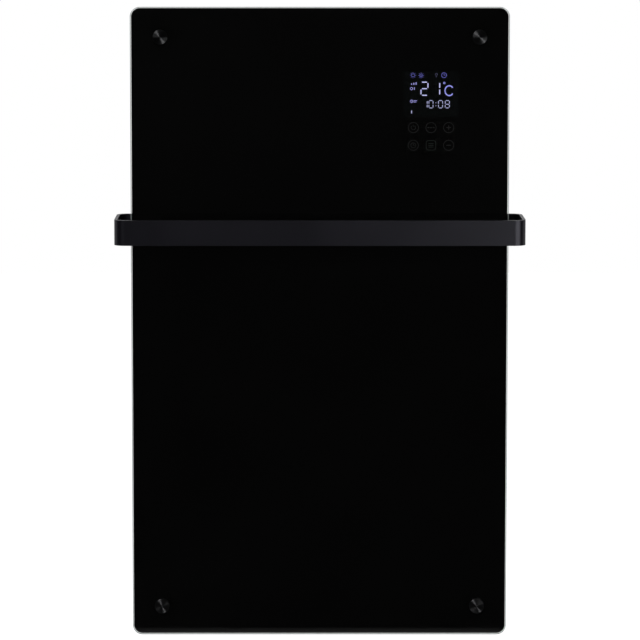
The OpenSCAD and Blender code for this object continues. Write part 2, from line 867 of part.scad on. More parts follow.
module switch_housing() {
    wall = (switch_w - rocker_w) / 2 - fit;
    cavity_l = 2 * rocker_r + 2 * fit;
    color([0.03, 0.03, 0.03]) in_panel() at_switch() difference() {
        union() {
            translate([-switch_depth, -switch_w / 2, -switch_l / 2])
                cube([switch_depth + bezel_t, switch_w, switch_l]);
            across(0, bezel_t) rounded_rect(switch_w + 2 * bezel_lip, switch_l + 2 * bezel_lip, 1.5);
            for (i = [-1:1])
                translate([-switch_depth - terminal_len, -tab_w / 2, i * tab_pitch - tab_t / 2])
                    cube([terminal_len + 1, tab_w, tab_t]);
        }
        translate([-rocker_r - fit, -switch_w / 2 + wall, -cavity_l / 2])
            cube([rocker_r + fit + bezel_t + 1, switch_w - 2 * wall, cavity_l]);
        translate([0, switch_w, 0]) rotate([90, 0, 0])
            cylinder(d = pivot_d + 2 * pin_fit, h = 2 * switch_w);
    }
}

// Rocker with a shallow V face, drawn switched on: its upper end is pressed in.
module switch_rocker() {
    half_throw = switch_throw / 2;
    color([0.04, 0.04, 0.04]) in_panel() at_switch() rotate([0, -half_throw, 0]) {
        translate([0, rocker_w / 2, 0]) rotate([90, 0, 0]) linear_extrude(rocker_w)
            intersection() {
                circle(rocker_r);
                for (s = [0, 1]) mirror([0, s])
                    polygon([[-rocker_floor, 0], [rocker_centre_h, 0],
                        [rocker_centre_h + rocker_r * tan(half_throw), rocker_r],
                        [-rocker_floor, rocker_r]]);
            }
        rod_y(0, rocker_w / 2 + pivot_len, 0, pivot_d, rocker_w + 2 * pivot_len);
    }
}

// Gland through the housing's back; the supply cable enters through its bore.
module cable_gland() {
    color([0.05, 0.05, 0.05]) in_panel() translate([gland_x, case_back_y, gland_z]) {
        difference() {
            union() {
                slab(gland_flange_t, gland_flange_t) circle(d = gland_flange_d, $fn = 6);
                translate([0, gland_flange_t, 0]) rotate([-90, 0, 0])
                    cylinder(d1 = gland_dome_d, d2 = gland_dome_d - 4, h = gland_dome_t);
                rod_y(0, 0, 0, gland_thread_d, gland_thread_len);
            }
            rod_y(0, wall_gap, 0, gland_bore_d, wall_gap + gland_thread_len + 1);
        }
    }
}

module gland_nut() {
    nut_across = gland_thread_d + 8;
    color([0.05, 0.05, 0.05]) in_panel() translate([gland_x, 0, gland_z])
        slab(case_inner_y, gland_nut_t) difference() {
            circle(d = nut_across, $fn = 6);
            circle(d = gland_thread_d + 2 * pin_fit);
        }
}

module earth_stud() {
    color([0.8, 0.75, 0.5]) in_panel() translate([earth_x, 0, earth_z]) {
        slab(case_inner_y, 12) circle(d = 5);
        slab(case_inner_y, 4) circle(d = 9.2, $fn = 6);
    }
}

// Cross-section of a heating element: round core, two curved wings, ribs inside the curves.
module element_section() {
    circle(r = tube_r);
    for (s = [0, 1]) mirror([s, 0]) translate([wing_offset + wing_r, 0]) {
        intersection() {
            ring(2 * wing_r, 2 * (wing_r - wing_t));
            polygon([[0, 0],
                [-2 * wing_r * cos(wing_half_angle), 2 * wing_r * sin(wing_half_angle)],
                [-2 * wing_r, 2 * wing_r],
                [-2 * wing_r, -2 * wing_r],
                [-2 * wing_r * cos(wing_half_angle), -2 * wing_r * sin(wing_half_angle)]]);
        }
        for (a = rib_angles)
            if (a != 0) rotate(180 + a)
                translate([wing_r - wing_t - rib_depth, -rib_t / 2])
                    square([rib_depth + wing_t / 2, rib_t]);
    }
}

// Extruded aluminium elements whose wings are cut into rows of fins.
module heating_elements() {
    cut_count = floor((element_len - fin_pitch) / fin_pitch / 2);
    cut_reach = 2 * wing_r;
    core_keep = tube_r + 1.5;
    color([0.78, 0.79, 0.8]) in_panel()
        for (z = element_zs) difference() {
            across(element_ends[0], element_len) translate([element_y, z]) element_section();
            rod_x(element_ends[0] - 1, element_y, z, rod_d + 2 * rod_fit, element_len + 2);
            for (i = [-cut_count:cut_count], s = [-1, 1])
                translate([element_mid_x + i * fin_pitch, element_y, z + s * (core_keep + cut_reach / 2)])
                    cube([fin_cut, 2 * cut_reach, cut_reach], center = true);
        }
}

module heater_rods() {
    rod_len = element_len + 2 * rod_overhang;
    color([0.6, 0.6, 0.58]) in_panel()
        for (z = element_zs) {
            rod_x(element_ends[0] - rod_overhang, element_y, z, rod_d, rod_len);
            rod_x(element_ends[0] - rod_overhang - pin_len, element_y, z, pin_d, rod_len + 2 * pin_len);
        }
}

function holder_x(s) = s < 0 ? element_ends[0] - holder_gap : element_ends[1] + holder_gap;

module element_bushes() {
    collar_t = 2;
    color([0.9, 0.88, 0.82]) in_panel()
        for (z = element_zs, s = [-1, 1])
            translate([holder_x(s), element_y, z]) rotate([0, s * 90, 0]) {
                upright(-holder_t / 2 - collar_t, collar_t)
                    ring(bush_collar_d, rod_d + 2 * rod_fit);
                upright(-holder_t / 2, bush_len) ring(bush_d, rod_d + 2 * rod_fit);
            }
}

// Upright sheet that carries the ends of the elements, with a foot on the housing's back.
module element_brackets() {
    low = element_zs[0] - holder_margin;
    high = element_zs[element_count - 1] + holder_margin;
    plate_d = case_inner_y - element_y + 15;
    color([0.75, 0.76, 0.77]) in_panel()
        for (s = [-1, 1]) difference() {
            translate([holder_x(s) - s * holder_t / 2, case_inner_y, 0])
                mirror([s < 0 ? 1 : 0, 0, 0]) upright(low, high - low) mirror([0, 1])
                    bent_strip(holder_foot, plate_d, holder_t, holder_bend_r);
            for (z = element_zs)
                rod_x(holder_x(s) - 3 * holder_t, element_y, z, bush_d + 2 * rod_fit, 6 * holder_t);
        }
}

// Shallow tray with its rim against the front plate; it keeps the glass cooler.
module heat_shield() {
    low = element_zs[0] - shield_margin;
    high = element_zs[element_count - 1] + shield_margin;
    left = -in_w / 2 + shield_side_gap;
    right = duct_wall_x - 3;
    color([0.82, 0.83, 0.84]) in_panel()
        translate([(left + right) / 2, 0, (low + high) / 2]) difference() {
            slab(lid_inner_y + shield_depth, shield_depth)
                rounded_rect(right - left, high - low, shield_corner_r);
            slab(lid_inner_y + shield_depth - shield_t, shield_depth)
                rounded_rect(right - left - 2 * shield_t, high - low - 2 * shield_t,
                    shield_corner_r - shield_t);
        }
}

// Upright wall between the warm-air duct and the electronics.
module duct_wall() {
    wall_h = in_h - 24;
    wall_d = case_inner_y - lid_inner_y - fit;
    color([0.74, 0.75, 0.76]) in_panel() difference() {
        translate([duct_wall_x, case_inner_y, 0]) upright(-wall_h / 2, wall_h) mirror([0, 1])
            bent_strip(duct_flange, wall_d, duct_wall_t, 2);
        rod_x(duct_wall_x - 1, element_y, wire_pass_z, wire_hole_d, duct_wall_t + 2);
    }
}

module wire_grommet() {
    lip_t = 1.5;
    bore_d = wire_hole_d - 4;
    lip_d = wire_hole_d + 5;
    color([0.08, 0.08, 0.08]) in_panel() translate([duct_wall_x, element_y, wire_pass_z])
        rotate([0, 90, 0]) {
            upright(-lip_t, lip_t) ring(lip_d, bore_d);
            upright(-lip_t, duct_wall_t + 2 * lip_t) ring(wire_hole_d - 2 * rod_fit, bore_d);
            upright(duct_wall_t, lip_t) ring(lip_d, bore_d);
        }
}

// Bimetal disc thermostat on the housing's back, above the elements.
module thermal_cutout() {
    color([0.85, 0.8, 0.7]) in_panel() translate([cutout_x, 0, cutout_z]) {
        slab(case_inner_y, 1) obround(9, ear_w);
        slab(case_inner_y - 1, cutout_t) circle(d = cutout_d);
        for (s = [-1, 1])
            translate([s * 4 - 0.4, case_inner_y - cutout_t - 7, -3]) cube([0.8, 7, 6]);
    }
}

// One-shot fuse in a sprung clip beside the thermostat.
module thermal_fuse() {
    clip_h = 3;
    color([0.85, 0.85, 0.85]) in_panel() translate([fuse_x, case_inner_y, cutout_z]) {
        translate([-fuse_body_len / 2, -clip_h - fuse_body_d / 2, 0])
            rod_x(0, 0, 0, fuse_body_d, fuse_body_len);
        translate([-fuse_body_len, -clip_h - fuse_body_d / 2, 0])
            rod_x(0, 0, 0, 1.2, 2 * fuse_body_len);
        translate([-3, -clip_h - fuse_body_d / 2, -3]) cube([6, clip_h + fuse_body_d / 2, 6]);
    }
}

// Bead thermistor in a clip near the air inlet.
module room_sensor() {
    color([0.1, 0.1, 0.1]) in_panel() translate([sensor_x, case_inner_y, sensor_z]) {
        translate([-4, -6, -4]) cube([8, 6, 8]);
        translate([0, -8, 0]) sphere(d = 5);
    }
}

module at_board_posts() {
    for (sx = [-1, 1], sz = [-1, 1])
        translate([board_x + sx * (board_w / 2 - post_inset), 0,
            board_z + sz * (board_h / 2 - post_inset)]) children();
}

module power_board() {
    hole_d = 3.4;
    color([0.1, 0.35, 0.2]) in_panel() slab(power_board_y, board_t) difference() {
        translate([board_x, board_z]) rounded_rect(board_w, board_h, 2);
        for (sx = [-1, 1], sz = [-1, 1])
            translate([board_x + sx * (board_w / 2 - post_inset), board_z + sz * (board_h / 2 - post_inset)])
                circle(d = hole_d);
    }
}

module board_posts() {
    pin_len = board_t + 2;
    color([0.9, 0.9, 0.88]) in_panel() at_board_posts() {
        slab(case_inner_y, post_h) circle(d = post_d);
        slab(power_board_y, pin_len) circle(d = 3.2);
    }
}

// Block with a slightly smaller top, standing on the power board at a point on it.
module board_block(at, size) {
    top_t = 1;
    translate([board_x + at[0], 0, board_z + at[1]]) {
        slab(power_front_y, size[2] - top_t) square([size[0], size[1]], center = true);
        slab(power_front_y - size[2] + top_t, top_t)
            square([size[0] - top_t, size[1] - top_t], center = true);
    }
}

module relays() {
    color([0.1, 0.2, 0.5]) in_panel()
        for (i = [0, 1]) board_block(relay_at + [0, i * relay_pitch], relay_size);
}

module transformer() {
    color([0.9, 0.75, 0.2]) in_panel() {
        board_block(coil_at, coil_size);
        board_block(coil_at, core_size);
    }
}

module capacitors() {
    color([0.15, 0.15, 0.3]) in_panel() {
        for (i = [0, 1])
            translate([board_x + can_at[0], 0, board_z + can_at[1] - i * can_pitch])
                slab(power_front_y, can_h) circle(d = can_d);
        board_block(film_at, film_size);
    }
}

// Screw terminals at the board's lower edge, with a wire entry under each screw.
module terminal_block() {
    way_w = terminal_size[0];
    screw_d = 4.6;
    screw_depth = 5;
    entry_w = 6;
    entry_h = 5;
    color([0.15, 0.4, 0.25]) in_panel() difference() {
        board_block([0, terminal_edge - board_h / 2],
            [terminal_ways * way_w, terminal_size[1], terminal_size[2]]);
        for (i = [0:terminal_ways - 1])
            translate([board_x + (i - (terminal_ways - 1) / 2) * way_w, power_front_y, terminal_z]) {
                rod_y(0, screw_depth - terminal_size[2], 0, screw_d, screw_depth + 1);
                translate([-entry_w / 2, -terminal_size[2] / 2, -terminal_size[1] / 2 - 1])
                    cube([entry_w, entry_h, entry_w]);
            }
    }
}

module at_display_screws() {
    for (sx = [-1, 1], sz = [-1, 1])
        translate([display_x + sx * (carrier_w / 2 + carrier_rim / 2 + 0.5), 0,
            carrier_z + sz * (carrier_h / 2 - 16)])
            children();
}

// Moulded frame that holds display and touch board against the glass.
module display_carrier() {
    rim_w = carrier_w + 2 * carrier_rim + 2;
    color([0.07, 0.07, 0.07]) in_panel() difference() {
        union() {
            slab(carrier_front_y + carrier_depth, carrier_depth)
                translate([display_x, carrier_z]) rounded_rect(carrier_w, carrier_h, 2);
            slab(case_front_y, carrier_rim_t)
                translate([display_x, carrier_z]) rounded_rect(rim_w, carrier_h, 3);
        }
        slab(carrier_front_y + carrier_depth + 1, carrier_depth + 2)
            translate([display_x, carrier_z])
                rounded_rect(carrier_w - 2 * carrier_wall, carrier_h - 2 * carrier_wall, 1);
        at_display_screws()
            rod_y(0, case_front_y + 1, 0, display_screw_d + 2 * screw_fit, carrier_rim_t + 2);
    }
}

module display_gasket() {
    color([0.05, 0.05, 0.05]) in_panel() slab(carrier_front_y, gasket_t)
        translate([display_x, carrier_z]) difference() {
            rounded_rect(carrier_w, carrier_h, 2);
            rounded_rect(carrier_w - 2 * carrier_wall, carrier_h - 2 * carrier_wall, 1);
        }
}

module display_screws() {
    color([0.6, 0.6, 0.6]) in_panel() at_display_screws()
        translate([0, case_front_y - carrier_rim_t, 0]) rotate([90, 0, 0])
            screw(5, 1.8, display_screw_d, carrier_rim_t + sheet_t + 3);
}

module lcd_module() {
    window_t = 0.8;
    back_y = glass_back_y + fit + window_t + lcd_t;
    color([0.04, 0.05, 0.05]) in_panel() translate([display_x, 0, display_z]) {
        slab(back_y, lcd_t) rounded_rect(lcd_w + 6, lcd_h + 6, 1);
        slab(back_y - lcd_t, window_t) square([lcd_w, lcd_h], center = true);
        for (sx = [-1, 1], sz = [-1, 1])
            translate([sx * (lcd_w / 2 - 4), 0, sz * (lcd_h / 2 - 4)])
                slab(display_board_y - board_t, display_board_y - board_t - back_y) circle(d = 5);
    }
}

module display_board() {
    board_gap = 0.3;
    color([0.1, 0.35, 0.2]) in_panel() slab(display_board_y, board_t)
        translate([display_x, carrier_z])
            rounded_rect(carrier_w - 2 * carrier_wall - 2 * board_gap,
                carrier_h - 2 * carrier_wall - 2 * board_gap, 1);
}

// Coil springs that carry each key's touch signal from the glass to the board.
module touch_springs() {
    rise = display_board_y - board_t - glass_back_y - spring_wire_d;
    steps = 10;
    coil = [for (i = [0:spring_turns * steps])
        let (a = 360 * i / steps)
        [(spring_d - spring_wire_d) / 2 * cos(a), -rise * i / (spring_turns * steps),
            (spring_d - spring_wire_d) / 2 * sin(a)]];
    color([0.8, 0.8, 0.75]) in_panel()
        for (x = key_xs, z = key_zs)
            translate([x, display_board_y - board_t - spring_wire_d / 2, z])
                tube(coil, spring_wire_d, 5, [0, 1, 0]);
}

// Supply wires from the power board through the grommet to both ends of the elements.
module element_wires() {
    right_x = element_ends[1] + rod_overhang + pin_len;
    left_x = element_ends[0] - rod_overhang - pin_len;
    turn_x = right_x + 2.5 * wire_bend;
    side_x = left_x - 1.5 * wire_bend;
    pass_x = duct_wall_x + wire_turn;
    pass_y = element_y + wire_d;
    pass_z = wire_pass_z + wire_d;
    back_y = case_inner_y - wire_lift;
    high = element_zs[element_count - 1];
    solder_y = power_front_y - wire_lift;
    solder_z = board_z - wire_lift;
    solder_x = board_x - board_w / 2 + post_inset;
    cutout_side_x = cutout_x - wire_turn - ear_w / 2;
    color([0.6, 0.1, 0.1]) in_panel() {
        tube(eased([[right_x + fit, element_y, high], [turn_x, element_y, high],
            [turn_x, pass_y, pass_z], [pass_x, pass_y, pass_z],
            [pass_x, solder_y, solder_z], [solder_x, solder_y, solder_z]],
            wire_bend), wire_d, wire_sides, [0.1, 0.9, 0.2]);
    }
    color([0.1, 0.2, 0.6]) in_panel() {
        tube(eased([[left_x - fit, element_y, high], [side_x, element_y, high],
            [side_x, back_y, cutout_z], [cutout_side_x, back_y, cutout_z],
            [cutout_side_x, back_y, cutout_z + wire_turn]],
            wire_bend), wire_d, wire_sides, [0.1, 0.2, 0.9]);
    }
}

module switch_wires() {
    tip_x = pivot_x - switch_depth - terminal_len - fit;
    block_z = terminal_z - terminal_size[1] / 2;
    entry_y = power_front_y - terminal_size[2] / 2 - wire_d;
    way_w = terminal_size[0];
    color([0.45, 0.25, 0.1]) in_panel()
        for (i = [0, 1]) {
            z = switch_z + i * tab_pitch;
            x = board_x + (i + 1) * way_w;
            tube(eased([[tip_x, switch_y, z], [tip_x - (2 - i) * wire_turn / 2 - wire_bend, switch_y, z],
                [x, entry_y, block_z - 1.5 * wire_turn], [x, entry_y, block_z - fit]],
                wire_bend), wire_d, wire_sides, [0.1, 0.9, 0.3]);
        }
}

// Flat cable with a plug at each end, from the display board down to the power board.
module display_ribbon() {
    plug_h = 7;
    plug_w = ribbon_w + 4;
    x = board_x - board_w / 2 + 20;
    top_z = carrier_bottom + 26;
    low_z = board_z + board_h / 2 - 12;
    bend_top = carrier_bottom - 6;
    bend_low = low_z + 16;
    front_y = carrier_front_y + carrier_depth + 3;
    back_y = power_front_y - plug_h;
    color([0.75, 0.75, 0.72]) in_panel() {
        across(x - ribbon_w / 2, ribbon_w)
            polygon([[front_y, top_z], [front_y, bend_top], [back_y, bend_low], [back_y, low_z],
                [back_y - ribbon_t, low_z], [back_y - ribbon_t, bend_low - ribbon_t],
                [front_y - ribbon_t, bend_top - ribbon_t], [front_y - ribbon_t, top_z]]);
        translate([x, 0, top_z - plug_h / 2])
            slab(front_y, front_y - display_board_y) square([plug_w, plug_h], center = true);
        translate([x, 0, low_z + plug_h / 2])
            slab(power_front_y, plug_h + ribbon_t) square([plug_w, plug_h], center = true);
    }
}

front_glass();
glass_caps();
cap_bushes();
glass_pads();
glass_spacers();
rivet_nuts();
back_casing();
front_plate();
casing_screws();
outlet_grille();
inlet_grille();
towel_rail();
rail_bracket_left();
rail_bracket_right();
rail_screws();
rail_nuts();
wall_bracket();
lock_tabs();
lock_screws();
wall_buffers();
switch_housing();
switch_rocker();
cable_gland();
gland_nut();
earth_stud();
heating_elements();
heater_rods();
element_bushes();
element_brackets();
heat_shield();
duct_wall();
wire_grommet();
thermal_cutout();
thermal_fuse();
room_sensor();
power_board();
board_posts();
relays();
transformer();
capacitors();
terminal_block();
display_carrier();
display_gasket();
display_screws();
lcd_module();
display_board();
touch_springs();
element_wires();
switch_wires();
display_ribbon();
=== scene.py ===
import json
from math import cos, pi, radians, sin
import bpy
import bmesh
from mathutils import Matrix, Vector


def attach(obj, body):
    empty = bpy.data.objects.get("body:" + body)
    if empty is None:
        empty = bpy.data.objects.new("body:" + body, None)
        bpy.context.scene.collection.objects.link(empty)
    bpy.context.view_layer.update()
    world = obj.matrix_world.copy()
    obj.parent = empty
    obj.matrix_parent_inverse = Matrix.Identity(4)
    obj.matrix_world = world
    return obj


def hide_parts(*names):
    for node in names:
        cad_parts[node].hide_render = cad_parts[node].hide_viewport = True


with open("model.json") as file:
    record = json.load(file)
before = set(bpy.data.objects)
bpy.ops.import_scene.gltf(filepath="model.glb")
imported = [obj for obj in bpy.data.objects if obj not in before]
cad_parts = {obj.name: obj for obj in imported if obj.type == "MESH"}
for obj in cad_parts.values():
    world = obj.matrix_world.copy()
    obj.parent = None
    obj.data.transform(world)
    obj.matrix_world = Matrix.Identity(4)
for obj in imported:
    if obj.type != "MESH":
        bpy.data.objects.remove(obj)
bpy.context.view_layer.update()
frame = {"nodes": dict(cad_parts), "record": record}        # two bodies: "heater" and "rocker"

cadNodes = frame["nodes"]
scene = bpy.context.scene
scene.view_settings.view_transform = 'Standard'
print("frame loaded:", len(cadNodes), "nodes")


# ---- small tools, all lengths in metres

def onlySelect(*pieces):
    if bpy.context.object and bpy.context.object.mode != 'OBJECT':
        bpy.ops.object.mode_set(mode='OBJECT')
    bpy.ops.object.select_all(action='DESELECT')
    for piece in pieces:
        piece.select_set(True)
    bpy.context.view_layer.objects.active = pieces[0] if pieces else None


def named(name):
    piece = bpy.context.object
    piece.name = name
    piece.data.name = name
    return piece


def pick(piece, kind, test):
    # edit mode, with the faces, edges or points selected that pass the test
    onlySelect(piece)
    bpy.ops.object.mode_set(mode='EDIT')
    bpy.ops.mesh.select_mode(type=kind)
    bpy.ops.mesh.select_all(action='DESELECT')
    mesh = bmesh.from_edit_mesh(piece.data)
    items = {'FACE': mesh.faces, 'EDGE': mesh.edges, 'VERT': mesh.verts}[kind]
    for item in items:
        if test(item):
            item.select_set(True)
    mesh.select_flush_mode()
    bmesh.update_edit_mesh(piece.data)


def editDone():
    bpy.ops.object.mode_set(mode='OBJECT')


def settle(piece, matrix=None):
    # the place goes into the mesh, and the object back to the origin
    if matrix is not None:
        piece.matrix_world = matrix
    onlySelect(piece)
    bpy.ops.object.transform_apply(location=True, rotation=True, scale=True)
    return piece


def twinAt(piece, matrix):
    twin = piece.copy()
    twin.data = piece.data.copy()
    scene.collection.objects.link(twin)
    twin.matrix_world = matrix
    return twin


def joined(parts, name):
    onlySelect(*parts)
    if len(parts) > 1:
        bpy.ops.object.join()
    return settle(named(name))


def smooth(piece, angle=32):
    onlySelect(piece)
    bpy.ops.object.shade_smooth_by_angle(angle=radians(angle))


def rounded(piece, width, steps):
    # breaks every edge sharper than 38 degrees, and keeps the flat faces beside it flat
    edge = piece.modifiers.new("edge", 'BEVEL')
    edge.width = width
    edge.segments = steps
    edge.limit_method = 'ANGLE'
    edge.angle_limit = radians(38)
    edge.miter_outer = 'MITER_ARC'
    onlySelect(piece)
    bpy.ops.object.modifier_apply(modifier="edge")
    smooth(piece)
    flat = piece.modifiers.new("flat", 'WEIGHTED_NORMAL')
    flat.keep_sharp = True
    bpy.ops.object.modifier_apply(modifier="flat")


def cutBy(piece, cutters):
    for cutter in cutters:
        cut = piece.modifiers.new("cut", 'BOOLEAN')
        cut.operation = 'DIFFERENCE'
        cut.solver = 'EXACT'
        cut.object = cutter
        onlySelect(piece)
        bpy.ops.object.modifier_apply(modifier="cut")
        bpy.data.objects.remove(cutter)


def finish(piece, body, slotName, look, *standsFor):
    piece.data.materials.clear()
    piece.data.materials.append(look)
    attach(piece, body)
    if standsFor:
        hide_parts(*standsFor)
    return piece


mergeGap = 0.000004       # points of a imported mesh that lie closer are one
flatAngle = 0.4           # faces that meet flatter than this are one


def refined(nodeName, newName, width, steps):
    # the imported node's own shape, with its sharp edges broken as on the real piece
    piece = cadNodes[nodeName].copy()
    piece.data = piece.data.copy()
    scene.collection.objects.link(piece)
    piece.parent = None
    piece.matrix_world = Matrix.Identity(4)
    for key in list(piece.keys()):
        if key.startswith("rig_"):
            del piece[key]
    onlySelect(piece)
    named(newName)
    bpy.ops.object.mode_set(mode='EDIT')
    bpy.ops.mesh.select_all(action='SELECT')
    bpy.ops.mesh.remove_doubles(threshold=mergeGap)
    bpy.ops.mesh.customdata_custom_splitnormals_clear()
    bpy.ops.mesh.dissolve_limited(angle_limit=radians(flatAngle))
    editDone()
    rounded(piece, width, steps)
    return piece


# ---- finishes, one for each slot of the record

def startLook(name, colour, metallic, rough, specular=0.5):
    look = bpy.data.materials.new(name)
    look.use_nodes = True
    tree = look.node_tree
    skin = tree.nodes["Principled BSDF"]
    skin.inputs["Base Color"].default_value = (*colour, 1)
    skin.inputs["Metallic"].default_value = metallic
    skin.inputs["Roughness"].default_value = rough
    skin.inputs["Specular IOR Level"].default_value = specular
    return look, tree, skin


def placeIn(tree, stretch=(1, 1, 1)):
    place = tree.nodes.new("ShaderNodeTexCoord")
    mapping = tree.nodes.new("ShaderNodeMapping")
    mapping.inputs["Scale"].default_value = stretch
    tree.links.new(place.outputs["Object"], mapping.inputs["Vector"])
    return mapping.outputs["Vector"]


def noise(tree, vector, scale, detail=3.0):
    grain = tree.nodes.new("ShaderNodeTexNoise")
    grain.inputs["Scale"].default_value = scale
    grain.inputs["Detail"].default_value = detail
    tree.links.new(vector, grain.inputs["Vector"])
    return grain.outputs["Fac"]


noiseRange = (0.3, 0.7)      # a noise texture's values lie almost wholly between these


def toColour(tree, skin, value, dark, light, between=noiseRange, socket="Base Color"):
    ramp = tree.nodes.new("ShaderNodeValToRGB")
    ramp.color_ramp.elements[0].position = between[0]
    ramp.color_ramp.elements[0].color = (*dark, 1)
    ramp.color_ramp.elements[1].position = between[1]
    ramp.color_ramp.elements[1].color = (*light, 1)
    tree.links.new(value, ramp.inputs["Fac"])
    tree.links.new(ramp.outputs["Color"], skin.inputs[socket])


def toRoughness(tree, skin, value, low, high):
    spread = tree.nodes.new("ShaderNodeMapRange")
    spread.inputs["From Min"].default_value, spread.inputs["From Max"].default_value = noiseRange
    spread.inputs["To Min"].default_value = low
    spread.inputs["To Max"].default_value = high
    tree.links.new(value, spread.inputs["Value"])
    tree.links.new(spread.outputs["Result"], skin.inputs["Roughness"])


def toBump(tree, skin, value, height):
    bump = tree.nodes.new("ShaderNodeBump")
    bump.inputs["Distance"].default_value = height
    tree.links.new(value, bump.inputs["Height"])
    tree.links.new(bump.outputs["Normal"], skin.inputs["Normal"])


def shaded(colour, share):
    return tuple(channel * share for channel in colour)


# grain and cloud: fineness of the surface's texture and of its slow changes, per metre
# relief: depth of the texture, spread: how much the colour changes
plainLooks = {
    "black_powder": dict(colour=(0.022, 0.022, 0.024), rough=(0.46, 0.56), grain=1500,
                         relief=0.00005, cloud=18, spread=0.22),
    "rail_paint": dict(colour=(0.002, 0.0018, 0.0033), rough=(0.28, 0.33), grain=1700,
                       relief=0.00002, cloud=9, spread=0.3, gloss=0.8, sheen=(0.88, 0.87, 1.0)),
    "screw_black": dict(colour=(0.034, 0.034, 0.036), rough=(0.34, 0.5), grain=2600,
                        relief=0.00002, cloud=160, spread=0.3, metallic=0.3),
    "black_plastic": dict(colour=(0.019, 0.019, 0.02), rough=(0.5, 0.62), grain=3200,
                          relief=0.00003, cloud=60, spread=0.15),
    "switch_plastic": dict(colour=(0.016, 0.016, 0.017), rough=(0.28, 0.36), grain=2600,
                           relief=0.000008, cloud=90, spread=0.12),
    "rubber": dict(colour=(0.016, 0.016, 0.016), rough=(0.72, 0.84), grain=2200,
                   relief=0.00003, cloud=70, spread=0.25),
    "foam": dict(colour=(0.014, 0.014, 0.014), rough=(0.85, 0.95), grain=1300,
                 relief=0.0002, cloud=120, spread=0.3),
    "relay_blue": dict(colour=(0.02, 0.09, 0.34), rough=(0.3, 0.4), grain=1800,
                       relief=0.00001, cloud=60, spread=0.08),
    "capacitor_black": dict(colour=(0.03, 0.03, 0.05), rough=(0.26, 0.36), grain=900,
                            relief=0.00001, cloud=110, spread=0.15),
    "terminal_green": dict(colour=(0.03, 0.22, 0.09), rough=(0.34, 0.44), grain=1800,
                           relief=0.00001, cloud=80, spread=0.1),
    "white_nylon": dict(colour=(0.74, 0.74, 0.7), rough=(0.48, 0.6), grain=1500,
                        relief=0.00001, cloud=120, spread=0.06),
    "ceramic": dict(colour=(0.78, 0.75, 0.68), rough=(0.6, 0.75), grain=1900,
                    relief=0.00003, cloud=180, spread=0.1),
    "wire_red": dict(colour=(0.45, 0.03, 0.025), rough=(0.42, 0.5), grain=1400,
                     relief=0.00001, cloud=40, spread=0.1),
    "wire_brown": dict(colour=(0.22, 0.09, 0.035), rough=(0.42, 0.5), grain=1400,
                       relief=0.00001, cloud=40, spread=0.1),
}


def plainLook(name, s):
    look, tree, skin = startLook(name, s["colour"], s.get("metallic", 0.0), s["rough"][0],
                                 s.get("gloss", 0.5))
    skin.inputs["Specular Tint"].default_value = (*s.get("sheen", (1, 1, 1)), 1)
    place = placeIn(tree)
    clouds = noise(tree, place, s["cloud"])
    grain = noise(tree, place, s["grain"], 2.0)
    toColour(tree, skin, clouds, shaded(s["colour"], 1 - s["spread"]),
             shaded(s["colour"], 1 + s["spread"]))
    toRoughness(tree, skin, clouds, *s["rough"])
    toBump(tree, skin, grain, s["relief"])
    return look


# stretch: how far the drawn or ground lines run along each axis
metalLooks = {
    "aluminium": dict(colour=(0.74, 0.75, 0.76), rough=(0.3, 0.42), stretch=(0.05, 1, 1),
                      grain=1500, relief=0.00001),
    "stainless": dict(colour=(0.46, 0.45, 0.43), rough=(0.24, 0.36), stretch=(0.04, 1, 1),
                      grain=1800, relief=0.000008),
    "brass": dict(colour=(0.7, 0.55, 0.26), rough=(0.25, 0.38), stretch=(1, 1, 0.2),
                  grain=1500, relief=0.000008),
    "spring_steel": dict(colour=(0.62, 0.62, 0.6), rough=(0.18, 0.28), stretch=(1, 0.2, 1),
                         grain=1900, relief=0.000005),
}


def metalLook(name, s):
    look, tree, skin = startLook(name, s["colour"], 1.0, s["rough"][0])
    lines = noise(tree, placeIn(tree, s["stretch"]), s["grain"], 4.0)
    toColour(tree, skin, lines, shaded(s["colour"], 0.88), s["colour"])
    toRoughness(tree, skin, lines, *s["rough"])
    toBump(tree, skin, lines, s["relief"])
    return look


zincLook = {"colour": (0.5, 0.51, 0.53), "rough": (0.32, 0.5), "spangle": 190, "grain": 1400,
            "relief": 0.00001}


def spangledZinc(name, s):
    look, tree, skin = startLook(name, s["colour"], 1.0, s["rough"][0])
    place = placeIn(tree)
    flakes = tree.nodes.new("ShaderNodeTexVoronoi")
    flakes.inputs["Scale"].default_value = s["spangle"]
    tree.links.new(place, flakes.inputs["Vector"])
    split = tree.nodes.new("ShaderNodeSeparateColor")
    tree.links.new(flakes.outputs["Color"], split.inputs["Color"])
    toColour(tree, skin, split.outputs["Red"], shaded(s["colour"], 0.78), shaded(s["colour"], 1.1),
             (0.0, 1.0))
    toRoughness(tree, skin, split.outputs["Green"], *s["rough"])
    toBump(tree, skin, noise(tree, place, s["grain"]), s["relief"])
    return look


boardLook = {"mask": (0.014, 0.1, 0.045), "copper": (0.03, 0.17, 0.075), "tracks": 150,
             "trackWidth": 0.06, "rough": (0.28, 0.4), "cloud": 300, "relief": 0.00003}


